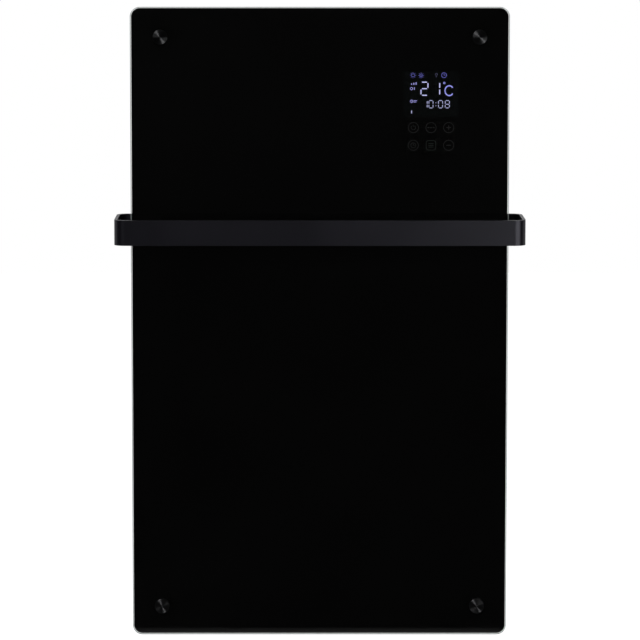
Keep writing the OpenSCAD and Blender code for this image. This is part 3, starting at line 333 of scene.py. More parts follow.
def boardGreen(name, s):
    look, tree, skin = startLook(name, s["mask"], 0.0, s["rough"][0])
    place = placeIn(tree)
    tracks = tree.nodes.new("ShaderNodeTexBrick")
    tracks.inputs["Scale"].default_value = s["tracks"]
    tracks.inputs["Mortar Size"].default_value = s["trackWidth"]
    tracks.inputs["Color1"].default_value = (*s["mask"], 1)
    tracks.inputs["Color2"].default_value = (*shaded(s["mask"], 0.8), 1)
    tracks.inputs["Mortar"].default_value = (*s["copper"], 1)
    turn = tree.nodes.new("ShaderNodeMapping")
    turn.inputs["Rotation"].default_value = (radians(90), 0, 0)
    tree.links.new(place, turn.inputs["Vector"])
    tree.links.new(turn.outputs["Vector"], tracks.inputs["Vector"])
    tree.links.new(tracks.outputs["Color"], skin.inputs["Base Color"])
    toRoughness(tree, skin, noise(tree, place, s["cloud"]), *s["rough"])
    toBump(tree, skin, tracks.outputs["Fac"], s["relief"])
    return look


tapeLook = {"colour": (0.72, 0.46, 0.05), "edge": (0.3, 0.18, 0.03), "wraps": 260, "direction": 'Z'}
ribbonLook = {"colour": (0.52, 0.52, 0.5), "edge": (0.3, 0.3, 0.29), "wraps": 250, "direction": 'X'}
wrapTexture = {"between": (0.05, 0.35), "wander": 0.4, "cloud": 200, "rough": (0.4, 0.55), "relief": 0.00008}


def wrappedLook(name, s, texture=wrapTexture):
    # tape wraps on the coil, and the separate wires of the flat cable
    look, tree, skin = startLook(name, s["colour"], 0.0, 0.5)
    place = placeIn(tree)
    bands = tree.nodes.new("ShaderNodeTexWave")
    bands.bands_direction = s["direction"]
    bands.inputs["Scale"].default_value = s["wraps"]
    bands.inputs["Distortion"].default_value = texture["wander"]
    tree.links.new(place, bands.inputs["Vector"])
    toColour(tree, skin, bands.outputs["Fac"], s["edge"], s["colour"], texture["between"])
    toRoughness(tree, skin, noise(tree, place, texture["cloud"]), *texture["rough"])
    toBump(tree, skin, bands.outputs["Fac"], texture["relief"])
    return look


# turned caps: the tool marks are rings, so a lamp shows as two wedges from the centre
capLook = {"colour": (0.056, 0.056, 0.058), "rough": 0.4, "pull": 1.0, "rings": 5200,
           "acrossX": 0.202, "acrossZ": 0.365, "middleZ": -0.040}


def turnedCap(name, s):
    look, tree, skin = startLook(name, s["colour"], 1.0, s["rough"])

    def maths(kind, *values):
        node = tree.nodes.new("ShaderNodeMath")
        node.operation = kind
        for i, value in enumerate(values):
            if isinstance(value, float):
                node.inputs[i].default_value = value
            else:
                tree.links.new(value, node.inputs[i])
        return node.outputs[0]

    split = tree.nodes.new("ShaderNodeSeparateXYZ")
    tree.links.new(placeIn(tree), split.inputs["Vector"])
    x = split.outputs["X"]
    z = maths('SUBTRACT', split.outputs["Z"], s["middleZ"])
    fromX = maths('SUBTRACT', x, maths('MULTIPLY', maths('SIGN', x), s["acrossX"]))
    fromZ = maths('SUBTRACT', z, maths('MULTIPLY', maths('SIGN', z), s["acrossZ"]))
    squares = maths('ADD', maths('MULTIPLY', fromX, fromX), maths('MULTIPLY', fromZ, fromZ))
    radius = maths('SQRT', squares)
    outwards = tree.nodes.new("ShaderNodeCombineXYZ")
    tree.links.new(fromX, outwards.inputs["X"])
    tree.links.new(fromZ, outwards.inputs["Z"])
    length = tree.nodes.new("ShaderNodeVectorMath")
    length.operation = 'NORMALIZE'
    tree.links.new(outwards.outputs["Vector"], length.inputs[0])
    tree.links.new(length.outputs["Vector"], skin.inputs["Tangent"])
    skin.inputs["Anisotropic"].default_value = s["pull"]
    rings = tree.nodes.new("ShaderNodeTexNoise")
    rings.noise_dimensions = '1D'
    rings.inputs["Scale"].default_value = s["rings"]
    rings.inputs["Detail"].default_value = 3
    tree.links.new(radius, rings.inputs["W"])
    toColour(tree, skin, rings.outputs["Fac"], shaded(s["colour"], 0.75), shaded(s["colour"], 1.15))
    return look


# the glass is clear: its black is the enamel sheet behind it
glassLook = {"tint": (0.86, 0.89, 0.88), "rough": (0.0, 0.02), "ground": (0.36, 0.4, 0.39),
             "groundRough": 0.5, "groundClear": 0.2, "facing": (0.98, 0.9)}


def clearGlass(name, s):
    look, tree, skin = startLook(name, s["tint"], 0.0, s["rough"][0])
    skin.inputs["Transmission Weight"].default_value = 1.0
    skin.inputs["IOR"].default_value = 1.5
    toRoughness(tree, skin, noise(tree, placeIn(tree), 6, 2.0), *s["rough"])
    if "ground" in s:
        groundEdge(tree, skin, s)
    return look


def groundEdge(tree, skin, s):
    # faces that look neither forward nor back are ground: pale, rough and hardly clear
    new, link = tree.nodes.new, tree.links.new
    shape = new("ShaderNodeNewGeometry")
    split = new("ShaderNodeSeparateXYZ")
    link(shape.outputs["True Normal"], split.inputs["Vector"])
    facing = new("ShaderNodeMath")
    facing.operation = 'ABSOLUTE'
    link(split.outputs["Y"], facing.inputs[0])
    ground = new("ShaderNodeMapRange")
    ground.inputs["From Min"].default_value, ground.inputs["From Max"].default_value = s["facing"]
    link(facing.outputs[0], ground.inputs["Value"])
    colour = new("ShaderNodeMix")            # its sockets 6 and 7 are the colours, 2 the colour out
    colour.data_type = 'RGBA'
    colour.inputs[6].default_value = (*s["tint"], 1)
    colour.inputs[7].default_value = (*s["ground"], 1)
    link(ground.outputs["Result"], colour.inputs[0])
    link(colour.outputs[2], skin.inputs["Base Color"])
    clear = new("ShaderNodeMapRange")
    clear.inputs["To Min"].default_value = 1.0
    clear.inputs["To Max"].default_value = s["groundClear"]
    link(ground.outputs["Result"], clear.inputs["Value"])
    link(clear.outputs["Result"], skin.inputs["Transmission Weight"])
    polish = skin.inputs["Roughness"].links[0].from_socket
    rough = new("ShaderNodeMix")
    rough.inputs[3].default_value = s["groundRough"]
    link(ground.outputs["Result"], rough.inputs[0])
    link(polish, rough.inputs[2])
    link(rough.outputs[0], skin.inputs["Roughness"])


bushLook = {"tint": (0.8, 0.81, 0.82), "rough": (0.08, 0.18)}
enamelLook = {"dark": (0.0026, 0.0025, 0.0025), "light": (0.0035, 0.0034, 0.0034),
              "rough": (0.55, 0.7), "gloss": 0.0}
windowLook = {"dark": (0.0014, 0.0019, 0.0019), "light": (0.0019, 0.0025, 0.0025),
              "rough": (0.2, 0.3), "gloss": 0.02}
sheetTexture = {"cloud": 9, "polish": 220, "grain": 2400, "relief": 0.000004}


def darkSheet(name, s, texture=sheetTexture):
    look, tree, skin = startLook(name, s["dark"], 0.0, s["rough"][0], s["gloss"])
    place = placeIn(tree)
    toColour(tree, skin, noise(tree, place, texture["cloud"]), s["dark"], s["light"])
    toRoughness(tree, skin, noise(tree, place, texture["polish"]), *s["rough"])
    toBump(tree, skin, noise(tree, place, texture["grain"]), texture["relief"])
    return look


litTexture = {"unlit": (0.01, 0.01, 0.012), "cloud": 700, "dimmest": 0.86}
inkTexture = {"cloud": 900, "spread": (0.75, 1.15), "grain": 3000, "relief": 0.000003}


def litLook(name, colour, power, texture=litTexture):
    # lit segments glow a little unevenly
    look, tree, skin = startLook(name, texture["unlit"], 0.0, 0.5)
    glow = noise(tree, placeIn(tree), texture["cloud"])
    toColour(tree, skin, glow, shaded(colour, texture["dimmest"]), colour, socket="Emission Color")
    skin.inputs["Emission Strength"].default_value = power
    return look


def inkLook(name, colour, texture=inkTexture):
    look, tree, skin = startLook(name, colour, 0.0, 0.6, 0.3)
    place = placeIn(tree)
    dark, light = (shaded(colour, share) for share in texture["spread"])
    toColour(tree, skin, noise(tree, place, texture["cloud"]), dark, light)
    toBump(tree, skin, noise(tree, place, texture["grain"]), texture["relief"])
    return look


looks = {name: plainLook(name, s) for name, s in plainLooks.items()}
looks.update({name: metalLook(name, s) for name, s in metalLooks.items()})
looks["zinc_steel"] = spangledZinc("zinc_steel", zincLook)
looks["board_green"] = boardGreen("board_green", boardLook)
looks["coil_yellow"] = wrappedLook("coil_yellow", tapeLook)
looks["ribbon_grey"] = wrappedLook("ribbon_grey", ribbonLook)
looks["turned_metal"] = turnedCap("turned_metal", capLook)
looks["black_glass"] = clearGlass("black_glass", glassLook)
looks["clear_plastic"] = clearGlass("clear_plastic", bushLook)
looks["display_glass"] = darkSheet("display_glass", windowLook)
enamel = darkSheet("black_enamel", enamelLook)

for part in frame["record"]["subparts"]:
    node = cadNodes[part["node"]]
    node.data.materials.clear()
    node.data.materials.append(looks[part["material_slot"]])
print("finishes on the packed nodes:", len(looks))


# ---- glass: black enamel just inside its rear face

enamelSheet = {"width": 0.4772, "height": 0.8032, "corner": 0.0111, "middle": (0, -0.040),
               "front": -0.08006, "thick": 0.00004, "capHole": 0.0055,
               "caps": [(x, z) for x in (-0.202, 0.202) for z in (-0.405, 0.325)],
               "window": (0.0705, 0.0585), "windowAt": (0.141, 0.253), "windowCorner": 0.002}
cutterDepth = 0.004      # of the shapes that cut the enamel


def roundedSheet(name, width, height, corner, thick, steps=10):
    # flat sheet in X and Y with round corners, rising from z = 0
    bpy.ops.mesh.primitive_cube_add(size=1, location=(0, 0, thick / 2), scale=(width, height, thick))
    sheet = settle(named(name))
    pick(sheet, 'EDGE', lambda e: abs(e.verts[0].co.z - e.verts[1].co.z) > thick / 2)
    bpy.ops.mesh.bevel(offset=corner, segments=steps, affect='EDGES')
    editDone()
    return sheet


def upright(x, front, z):
    # a sheet modelled flat is stood up to face the room
    return Matrix.Translation((x, front, z)) @ Matrix.Rotation(pi / 2, 4, 'X')


def makeEnamel(s):
    sheet = roundedSheet("glass_enamel", s["width"], s["height"], s["corner"], s["thick"], 16)
    cutters = []
    for x, z in s["caps"]:
        bpy.ops.mesh.primitive_cylinder_add(vertices=40, radius=s["capHole"], depth=cutterDepth,
                                            location=(x, z - s["middle"][1], 0))
        cutters.append(named("hole"))
    hole = roundedSheet("hole", *s["window"], s["windowCorner"], cutterDepth)
    across, up = s["windowAt"]
    settle(hole, Matrix.Translation((across, up - s["middle"][1], -cutterDepth / 2)))
    cutBy(sheet, cutters + [hole])
    settle(sheet, upright(s["middle"][0], s["front"] + s["thick"], s["middle"][1]))
    finish(sheet, "heater", "black_glass", enamel)

    # smoked film fills the window, and only what is lit shows through it
    film = roundedSheet("window_film", *s["window"], s["windowCorner"], s["thick"])
    settle(film, upright(s["windowAt"][0], s["front"] + s["thick"], s["windowAt"][1]))
    finish(film, "heater", "display_glass", looks["display_glass"])


makeEnamel(enamelSheet)
print("glass enamel")


# ---- display and keys, drawn flat in millimetres and stood up behind the glass

def bar(x, y, length, width, turn=0.0, point=0.0):
    # stroke with rounded ends, or with pointed ends where a share of its width is given
    bpy.ops.mesh.primitive_cube_add(size=1, scale=(length, width, 1))
    stroke = settle(named("stroke"))
    pick(stroke, 'EDGE', lambda e: abs(e.verts[0].co.z - e.verts[1].co.z) > 0.5)
    cut, steps = (width * point, 1) if point else (width * 0.3, 3)
    bpy.ops.mesh.bevel(offset=cut, segments=steps, affect='EDGES')
    editDone()
    return settle(stroke, Matrix.Translation((x, y, 0)) @ Matrix.Rotation(radians(turn), 4, 'Z'))


def loop(x, y, outer, width, gap=None, stretch=1.0, count=48):
    # ring, or an arc where a gap (from, to) in degrees is left out
    bpy.ops.mesh.primitive_circle_add(vertices=count, radius=outer, fill_type='NGON')
    ring = named("ring")
    pick(ring, 'FACE', lambda f: True)
    bpy.ops.mesh.inset(thickness=width, depth=0)
    bpy.ops.mesh.delete(type='FACE')
    if gap:
        def inGap(face):
            at = face.calc_center_median()
            angle = Vector((1, 0)).angle_signed(Vector((at.x, at.y)), 0)
            degrees = (-angle * 180 / pi) % 360
            return gap[0] < degrees < gap[1] or gap[0] < degrees - 360 < gap[1]
        editDone()
        pick(ring, 'FACE', inGap)
        bpy.ops.mesh.delete(type='FACE')
    editDone()
    wall = ring.modifiers.new("wall", 'SOLIDIFY')
    wall.thickness = 1
    wall.offset = 0
    onlySelect(ring)
    bpy.ops.object.modifier_apply(modifier="wall")
    return settle(ring, Matrix.Translation((x, y, 0)) @ Matrix.Diagonal((1, stretch, 1, 1)))


def digit(shape, x, y, width, height, stroke):
    # seven-segment figure round its centre
    across = width - stroke * 2.5
    up = height / 2 - stroke * 1.8
    side = (width - stroke) / 2
    middle = height / 4 - stroke / 4
    top = (height - stroke) / 2
    places = {"a": (0, top, across, 0), "g": (0, 0, across, 0), "d": (0, -top, across, 0),
              "b": (side, middle, up, 90), "c": (side, -middle, up, 90),
              "f": (-side, middle, up, 90), "e": (-side, -middle, up, 90)}
    strokes = []
    for letter in shape:
        right, above, length, turn = places[letter]
        strokes.append(bar(x + right, y + above, length, stroke, turn, 0.42))
    return strokes


def sun(x, y, size, stroke, rays):
    parts = [loop(x, y, size * 0.5, stroke, count=24)]
    reach = size * 0.76
    for i in range(rays):
        turn = 360 * i / rays
        parts.append(bar(x + reach * cos(radians(turn)), y + reach * sin(radians(turn)),
                         size * 0.24, stroke, turn))
    return parts


drawingOrigin = (0.0001, -0.04015)       # X and Z of the point that the drawings are measured from


def standUp(parts, name, front, thick, look, slotName):
    # millimetres to metres, faces towards the room
    marks = joined(parts, name)
    x, z = drawingOrigin
    settle(marks, upright(x, front, z) @ Matrix.Diagonal((0.001, 0.001, thick, 1)))
    return finish(marks, "heater", slotName, look)


# places are measured from the middle of the glass, to the right and up
displaySet = {
    "front": -0.08014, "thick": 0.00006,
    "digitSize": (10.2, 18.0), "stroke": 1.4, "two": (132.5, 299.8), "one": (147.4, 299.8),
    "unitAt": (163.9, 297.3), "unitSize": (6.1, 1.4), "degreeAt": (157.6, 307.0), "degreeSize": (1.4, 0.7),
    "clockSize": (6.1, 10.2), "clockStroke": 0.85, "clockHeight": 280.1,
    "clockAt": [("bc", 133.4), ("abcdef", 140.8), ("abcdef", 152.9), ("abcdefg", 161.5)],
    "colonAt": 147.0, "colonStep": 1.9, "dayAt": (116.3, 270.3), "daySize": (3.7, 1.15),
    "suns": [((117.9, 316.8), 4.3), ((128.2, 316.6), 4.042)], "fine": 0.42,
    "lampAt": (147.5, 317.0), "ringAt": (157.2, 316.9), "ringStroke": 0.55,
    "levelAt": (119.0, 306.4), "stateAt": (117.6, 299.9), "timeAt": (119.3, 283.8)}
# colour and strength of the glow
displayColours = {"bright": ((0.6, 0.59, 1.0), 0.95), "unit": ((0.35, 0.35, 0.98), 0.9),
                  "clock": ((0.57, 0.57, 0.93), 0.85), "icon": ((0.15, 0.14, 0.6), 0.95),
                  "faint": ((0.06, 0.058, 0.14), 0.9), "label": ((0.3, 0.28, 0.66), 1.1)}


def makeDisplay(s, colours):
    front, thick = s["front"], s["thick"]
    lit = {name: litLook("lit_" + name, colour, power) for name, (colour, power) in colours.items()}
    digits = digit("abged", *s["two"], *s["digitSize"], s["stroke"])
    digits += digit("bc", *s["one"], *s["digitSize"], s["stroke"])
    standUp(digits, "display_degrees", front, thick, lit["bright"], "display_glass")

    unit = [loop(*s["unitAt"], *s["unitSize"], gap=(-40, 40), stretch=1.15)]
    unit.append(loop(*s["degreeAt"], *s["degreeSize"], count=24))
    standUp(unit, "display_unit", front, thick, lit["unit"], "display_glass")

    clock = []
    for shape, x in s["clockAt"]:
        clock += digit(shape, x, s["clockHeight"], *s["clockSize"], s["clockStroke"])
    for step in (-s["colonStep"], s["colonStep"]):
        clock.append(bar(s["colonAt"], s["clockHeight"] + step, s["clockStroke"], s["clockStroke"]))
    clock.append(bar(*s["dayAt"], *s["daySize"], 90))
    standUp(clock, "display_clock", front, thick, lit["clock"], "display_glass")

    fine = s["fine"]
    icons = []
    for (x, y), size in s["suns"]:
        icons += sun(x, y, size, fine, 8)
    icons.append(bar(x, y - 0.5, 2.6, fine))       # haze across the second sun
    x, y = s["ringAt"]
    line = s["ringStroke"]
    icons += [loop(x, y, 3.4, line), bar(x, y + 0.8, 2.0, line, 90), bar(x + 0.7, y, 1.6, line)]
    standUp(icons, "display_icons", front, thick, lit["icon"], "display_glass")

    x, y = s["lampAt"]
    lamp = [loop(x, y + 0.9, 1.6, 0.5, gap=(245, 295), count=24), bar(x, y - 1.5, 1.4, 0.45),
            bar(x, y - 2.3, 1.0, 0.45)]
    standUp(lamp, "display_lamp", front, thick, lit["faint"], "display_glass")

    # bars and small signs stand where the real display has words
    x, y = s["levelAt"]
    labels = []
    for i in range(3):
        tall = 1.8 + 0.7 * i
        labels.append(bar(x - 2.9 + 2.9 * i, y - 1.6 + tall / 2, tall, 1.5, 90))
    x, y = s["stateAt"]
    labels += [loop(x - 1.5, y, 1.9, 0.7, count=24), bar(x + 2.1, y, 3.4, 1.0, 90)]
    x, y = s["timeAt"]
    labels += [loop(x - 3.0, y, 2.0, 0.6, count=24), bar(x - 3.0, y + 0.5, 1.5, 0.5, 90),
               bar(x - 2.6, y, 1.2, 0.5)]
    labels += [bar(x + 1.7, y + 0.8, 4.4, 0.8), bar(x + 1.2, y - 0.9, 3.4, 0.8)]
    standUp(labels, "display_signs", front, thick, lit["label"], "display_glass")


makeDisplay(displaySet, displayColours)
print("display")

keySet = {"front": -0.08007, "thick": 0.00002, "across": (118.6, 141.0, 163.4), "rows": (250.5, 228.0),
          "size": 6.7, "line": 0.5, "menuSize": 12.6, "menuCorner": 3.2, "sign": 5.6,
          "ink": (0.017, 0.017, 0.018), "menuInk": (0.011, 0.017, 0.014)}


def makeKeys(s):
    front, thick = s["front"], s["thick"]
    left, middle, right = s["across"]
    top, low = s["rows"]
    line, sign = s["line"], s["sign"]
    size, corner = s["menuSize"], s["menuCorner"]
    marks = [loop(x, y, s["size"], line) for x, y in
             [(left, top), (middle, top), (right, top), (left, low), (right, low)]]
    marks += [loop(left, top, 3.0, line, gap=(60, 120)), bar(left, top + 2.3, 2.8, line, 90)]
    marks += [bar(middle + 3.4 * i, top, 2.4, line * 1.5) for i in (-1, 0, 1)]
    marks += [bar(right, top, sign, line * 1.5), bar(right, top, sign, line * 1.5, 90)]
    marks += [loop(left, low, 3.4, line), bar(left, low + 1.0, 2.4, line, 90),
              bar(left + 0.8, low, 1.9, line)]
    marks += [bar(right, low, sign, line * 1.5)]
    standUp(marks, "key_marks", front, thick, inkLook("key_ink", s["ink"]), "black_glass")

    square = roundedSheet("menu", size, size, corner, 1.0, 6)
    inner = roundedSheet("menu", size - 2 * line, size - 2 * line, corner - 0.4, 3.0, 6)
    settle(inner, Matrix.Translation((0, 0, -1)))
    cutBy(square, [inner])
    settle(square, Matrix.Translation((middle, low, -0.5)))
    menu = [square] + [bar(middle, low + 2.3 * i, 6.4, line * 1.3) for i in (-1, 0, 1)]
    standUp(menu, "menu_mark", front, thick, inkLook("menu_ink", s["menuInk"]), "black_glass")


makeKeys(keySet)
print("touch keys")


# ---- screws with a cross recess

# shares of the head's height or width, and how much the recess narrows to its bottom
screwShape = {"dome": 0.55, "crossLength": 0.52, "crossWidth": 0.12, "crossTop": 0.95, "taper": (0.45, 0.8, 1)}


def makeScrew(name, headWidth, headHeight, shankWidth, shankLength):
    # pan head above z = 0, shank below
    bpy.ops.mesh.primitive_cylinder_add(vertices=36, radius=headWidth / 2, depth=headHeight,
                                        location=(0, 0, headHeight / 2))
    screw = settle(named(name))
    pick(screw, 'FACE', lambda f: f.normal.z < -0.9)
    bpy.ops.mesh.inset(thickness=(headWidth - shankWidth) / 2, depth=0)
    bpy.ops.mesh.extrude_region_move(TRANSFORM_OT_translate={"value": (0, 0, -shankLength)})
    editDone()
    pick(screw, 'EDGE', lambda e: all(v.co.z > headHeight * 0.99 for v in e.verts))
    bpy.ops.mesh.bevel(offset=headHeight * screwShape["dome"], segments=5, affect='EDGES')
    editDone()
    cutters = []
    length, width = headWidth * screwShape["crossLength"], headWidth * screwShape["crossWidth"]
    for turn in (0, 90):
        bpy.ops.mesh.primitive_cube_add(size=1, scale=(length, width, headHeight))
        blade = settle(named("blade"))
        pick(blade, 'VERT', lambda v: v.co.z < 0)
        bpy.ops.transform.resize(value=screwShape["taper"])
        editDone()
        rise = Matrix.Translation((0, 0, headHeight * screwShape["crossTop"]))
        cutters.append(settle(blade, rise @ Matrix.Rotation(radians(turn), 4, 'Z')))
    cutBy(screw, cutters)
    smooth(screw, 40)
    return screw


def screwsAt(name, size, places, slotName, node):
    # places: (point under the head, the way the head faces, turn of the recess)
    model = makeScrew("screw", *size)
    copies = []
    for point, way, turn in places:
        stand = Vector((0, 0, 1)).rotation_difference(Vector(way)).to_matrix().to_4x4()
        stand = Matrix.Translation(point) @ stand @ Matrix.Rotation(radians(turn), 4, 'Z')
        copies.append(twinAt(model, stand))
    bpy.data.objects.remove(model)
    finish(joined(copies, name), "heater", slotName, looks[slotName], node)


# size: head width and height, shank width and length
sideScrews = {"size": (0.007, 0.0022, 0.0032, 0.007), "side": 0.220, "depth": -0.066,
              "heights": (-0.340, -0.040, 0.260), "across": 0.180, "ends": (-0.420, 0.340)}
railScrews = {"size": (0.0085, 0.0026, 0.005, 0.008), "across": 0.2345, "face": -0.049,
              "heights": (0.0735, 0.0895), "side": 0.223, "depth": -0.033}
lockScrews = {"size": (0.008, 0.0024, 0.004, 0.0078), "across": 0.090, "depth": -0.010,
              "face": -0.1718}

s = sideScrews
places = [((way * s["side"], s["depth"], z), (way, 0, 0), 20 + 31 * i)
          for way in (-1, 1) for i, z in enumerate(s["heights"])]
places += [((side * s["across"], s["depth"], s["ends"][i]), (0, 0, (-1, 1)[i]), 12 + 40 * side)
           for side in (-1, 1) for i in (0, 1)]
screwsAt("housing_screws", s["size"], places, "screw_black", "casing_screws")

s = railScrews
places = [((way * s["across"], s["face"], z), (0, -1, 0), 35 * i + 10) for way in (-1, 1)
          for i, z in enumerate(s["heights"])]
places += [((way * s["side"], s["depth"], z), (way, 0, 0), 50 * i + 5) for way in (-1, 1)
           for i, z in enumerate(s["heights"])]
screwsAt("rail_fixing_screws", s["size"], places, "screw_black", "rail_screws")

s = lockScrews
places = [((way * s["across"], s["depth"], s["face"]), (0, 0, -1), 25 * way) for way in (-1, 1)]
screwsAt("bracket_lock_screws", s["size"], places, "zinc_steel", "lock_screws")
print("screws")


# ---- pieces whose edges catch the light

# new name, width of the rounded edge, steps
softEdges = {"towel_rail": ("towel_bar", 0.0006, 3), "wall_bracket": ("wall_plate", 0.0003, 2),
             "rail_bracket_left": ("rail_angle_left", 0.0004, 2),
             "rail_bracket_right": ("rail_angle_right", 0.0004, 2),
             "switch_housing": ("switch_body", 0.0003, 2)}
slotOf = {part["node"]: part["material_slot"] for part in frame["record"]["subparts"]}
for nodeName, (newName, width, steps) in softEdges.items():
    slotName = slotOf[nodeName]
    finish(refined(nodeName, newName, width, steps), "heater", slotName, looks[slotName], nodeName)
print("rounded edges")


# ---- marks on the rocker: a bar for on above, a ring for off below

rockerSet = {"pivot": (0.220, -0.0446, -0.370), "face": 0.00218, "slope": 16, "reach": 0.0066,
             "markSize": 2.3, "line": 0.55, "thick": 0.00004, "ink": (0.62, 0.62, 0.6)}


def makeRockerMarks(s):
    ink = inkLook("rocker_ink", s["ink"])
    # a flat drawing in millimetres, turned to face +X
    faceOut = (Matrix.Rotation(pi / 2, 4, 'Z') @ Matrix.Rotation(pi / 2, 4, 'X')
               @ Matrix.Diagonal((0.001, 0.001, s["thick"], 1)))
    pivot = Matrix.Translation(s["pivot"])
    on = settle(bar(0, 0, 2 * s["markSize"], s["line"] * 1.2, 90),
                pivot @ Matrix.Translation((s["face"], 0, s["reach"])) @ faceOut)
    lowHalf = Matrix.Translation((s["face"], 0, 0)) @ Matrix.Rotation(radians(s["slope"]), 4, 'Y')
    off = settle(loop(0, 0, s["markSize"], s["line"]),
                 pivot @ lowHalf @ Matrix.Translation((0, 0, -s["reach"])) @ faceOut)
    finish(joined([on, off], "rocker_marks"), "rocker", "switch_plastic", ink)


makeRockerMarks(rockerSet)
print("rocker marks")


# ---- room: pale floor, soft lamps, camera

# mirrorStops: (place, level) of the floor as shiny surfaces see it, from Y = mirrorFrom to the wall
floorSet = {"height": -0.75, "radius": 7.0, "colour": (0.8, 0.8, 0.8), "seen": (0.92, 0.92, 0.92),
            "glow": 0.76, "mirrorFrom": -2.0,
            "mirrorStops": [(0.209, 0.0), (0.24, 0.36), (0.29, 0.36), (0.33, 0.03), (0.8, 0.03),
                            (0.93, 0.25)]}


def levels(tree, value, stops):
    # greys along a value, given as (place, level)
    ramp = tree.nodes.new("ShaderNodeValToRGB")
    elements = ramp.color_ramp.elements
    while len(elements) < len(stops):
        elements.new(0.5)
    for element, (position, level) in zip(elements, stops):
        element.position = position
        element.color = (level, level, level, 1)
    tree.links.new(value, ramp.inputs["Fac"])
    return ramp.outputs["Color"]


def makeFloor(s):
    bpy.ops.mesh.primitive_circle_add(vertices=96, radius=s["radius"], fill_type='NGON',
                                      location=(0, 0, s["height"]))
    floor = settle(named("floor"))
    look, tree, skin = startLook("floor_paint", s["colour"], 0.0, 0.9, 0.1)
    new, link = tree.nodes.new, tree.links.new
    ray = new("ShaderNodeLightPath")
    colour = new("ShaderNodeMix")
    colour.data_type = 'RGBA'
    colour.inputs[6].default_value = (*s["colour"], 1)
    colour.inputs[7].default_value = (*s["seen"], 1)
    link(ray.outputs["Is Camera Ray"], colour.inputs[0])
    link(colour.outputs[2], skin.inputs["Base Color"])
    glow = new("ShaderNodeEmission")
    glow.inputs["Strength"].default_value = s["glow"]
    nothing = new("ShaderNodeEmission")
    nothing.inputs["Strength"].default_value = 0.0
    seenGlow = new("ShaderNodeMixShader")
    link(ray.outputs["Is Camera Ray"], seenGlow.inputs[0])
    link(nothing.outputs[0], seenGlow.inputs[1])
    link(glow.outputs[0], seenGlow.inputs[2])
    both = new("ShaderNodeAddShader")
    link(skin.outputs[0], both.inputs[0])
    link(seenGlow.outputs[0], both.inputs[1])
    place = new("ShaderNodeTexCoord")
    split = new("ShaderNodeSeparateXYZ")
    link(place.outputs["Object"], split.inputs["Vector"])
    depth = new("ShaderNodeMapRange")
    depth.inputs["From Min"].default_value = s["mirrorFrom"]
    depth.inputs["From Max"].default_value = 0.0
    link(split.outputs["Y"], depth.inputs["Value"])
    mirrored = new("ShaderNodeEmission")
    link(levels(tree, depth.outputs["Result"], s["mirrorStops"]), mirrored.inputs["Color"])
    white = new("ShaderNodeEmission")
    inMetal = new("ShaderNodeMixShader")
    link(ray.outputs["Is Glossy Ray"], inMetal.inputs[0])
    link(both.outputs[0], inMetal.inputs[1])
    link(mirrored.outputs[0], inMetal.inputs[2])
    throughGlass = new("ShaderNodeMixShader")
    link(ray.outputs["Is Transmission Ray"], throughGlass.inputs[0])
    link(inMetal.outputs[0], throughGlass.inputs[1])
    link(white.outputs[0], throughGlass.inputs[2])
    link(throughGlass.outputs[0], tree.nodes["Material Output"].inputs["Surface"])
    floor.data.materials.append(look)


makeFloor(floorSet)

airSet = {"diffuse": 0.35,
          "stops": [(0.0, 0.006), (0.5, 0.01), (0.57, 0.2), (0.66, 0.45), (0.85, 0.3)]}


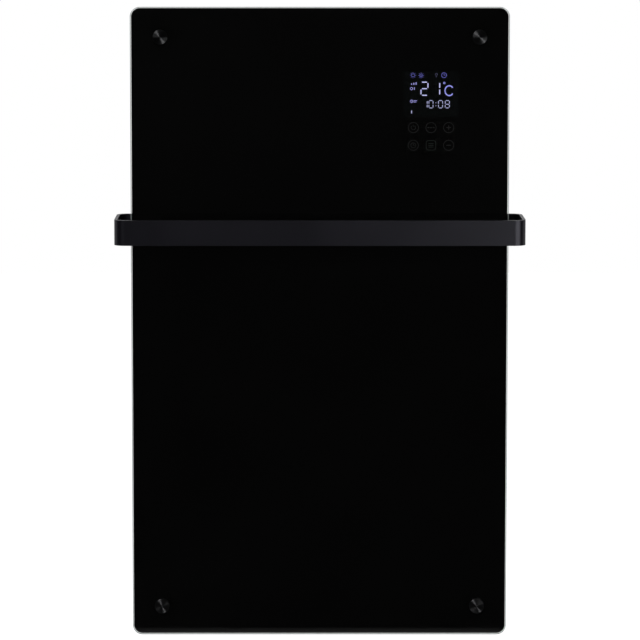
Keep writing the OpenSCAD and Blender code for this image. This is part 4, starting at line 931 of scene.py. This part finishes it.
def makeAir(s):
    # white to the camera, pale behind the heater and dark in front of it for reflections
    world = bpy.data.worlds.new("studio")
    scene.world = world
    world.use_nodes = True
    tree = world.node_tree
    tree.nodes.clear()
    new, link = tree.nodes.new, tree.links.new
    ray = new("ShaderNodeLightPath")
    place = new("ShaderNodeTexCoord")
    split = new("ShaderNodeSeparateXYZ")
    link(place.outputs["Generated"], split.inputs["Vector"])
    way = new("ShaderNodeMapRange")
    way.inputs["From Min"].default_value = -1
    link(split.outputs["Y"], way.inputs["Value"])
    mirrored = new("ShaderNodeBackground")
    link(levels(tree, way.outputs["Result"], s["stops"]), mirrored.inputs["Color"])
    soft = new("ShaderNodeBackground")
    soft.inputs["Color"].default_value = (1, 1, 1, 1)
    soft.inputs["Strength"].default_value = s["diffuse"]
    white = new("ShaderNodeBackground")
    white.inputs["Color"].default_value = (1, 1, 1, 1)
    inGloss = new("ShaderNodeMixShader")
    link(ray.outputs["Is Glossy Ray"], inGloss.inputs[0])
    link(soft.outputs[0], inGloss.inputs[1])
    link(mirrored.outputs[0], inGloss.inputs[2])
    direct = new("ShaderNodeMath")
    direct.operation = 'MAXIMUM'
    link(ray.outputs["Is Camera Ray"], direct.inputs[0])
    link(ray.outputs["Is Transmission Ray"], direct.inputs[1])
    seen = new("ShaderNodeMixShader")
    link(direct.outputs[0], seen.inputs[0])
    link(inGloss.outputs[0], seen.inputs[1])
    link(white.outputs[0], seen.inputs[2])
    out = new("ShaderNodeOutputWorld")
    link(seen.outputs[0], out.inputs["Surface"])


makeAir(airSet)

# place, what it points at, width and height, power
lampSet = {
    "lamp_left_high": ((-2.85, -6.1, 3.4), (0, -0.1, 0), (1.8, 1.8), 220),
    "lamp_right": ((1.1, -1.5, -0.06), (0.25, -0.14, 0.08), (1.5, 0.55), 4.1),
    "lamp_top": ((0.1, -0.9, 2.4), (0, -0.05, 0), (1.6, 0.9), 2.5),
    "lamp_behind": ((0.2, 2.4, 1.5), (0, 0, -0.1), (1.8, 1.2), 8),
}
for name, (place, target, size, power) in lampSet.items():
    lamp = bpy.data.lights.new(name, 'AREA')
    lamp.shape = 'RECTANGLE'
    lamp.size, lamp.size_y = size
    lamp.energy = power
    holder = bpy.data.objects.new(name, lamp)
    scene.collection.objects.link(holder)
    holder.location = place
    holder.rotation_euler = (Vector(target) - Vector(place)).to_track_quat('-Z', 'Y').to_euler()
    holder.visible_camera = False

cameraSet = {"place": (-0.030, -4.585, 0.52), "tilt": 6.387, "lens": 200.1,
             "shift": (0.0374, -0.0625)}
camera = bpy.data.cameras.new("camera")
camera.lens = cameraSet["lens"]
camera.shift_x, camera.shift_y = cameraSet["shift"]
eye = bpy.data.objects.new("camera", camera)
scene.collection.objects.link(eye)
eye.location = cameraSet["place"]
eye.rotation_euler = (radians(90 - cameraSet["tilt"]), 0, 0)
scene.camera = eye
print("room")
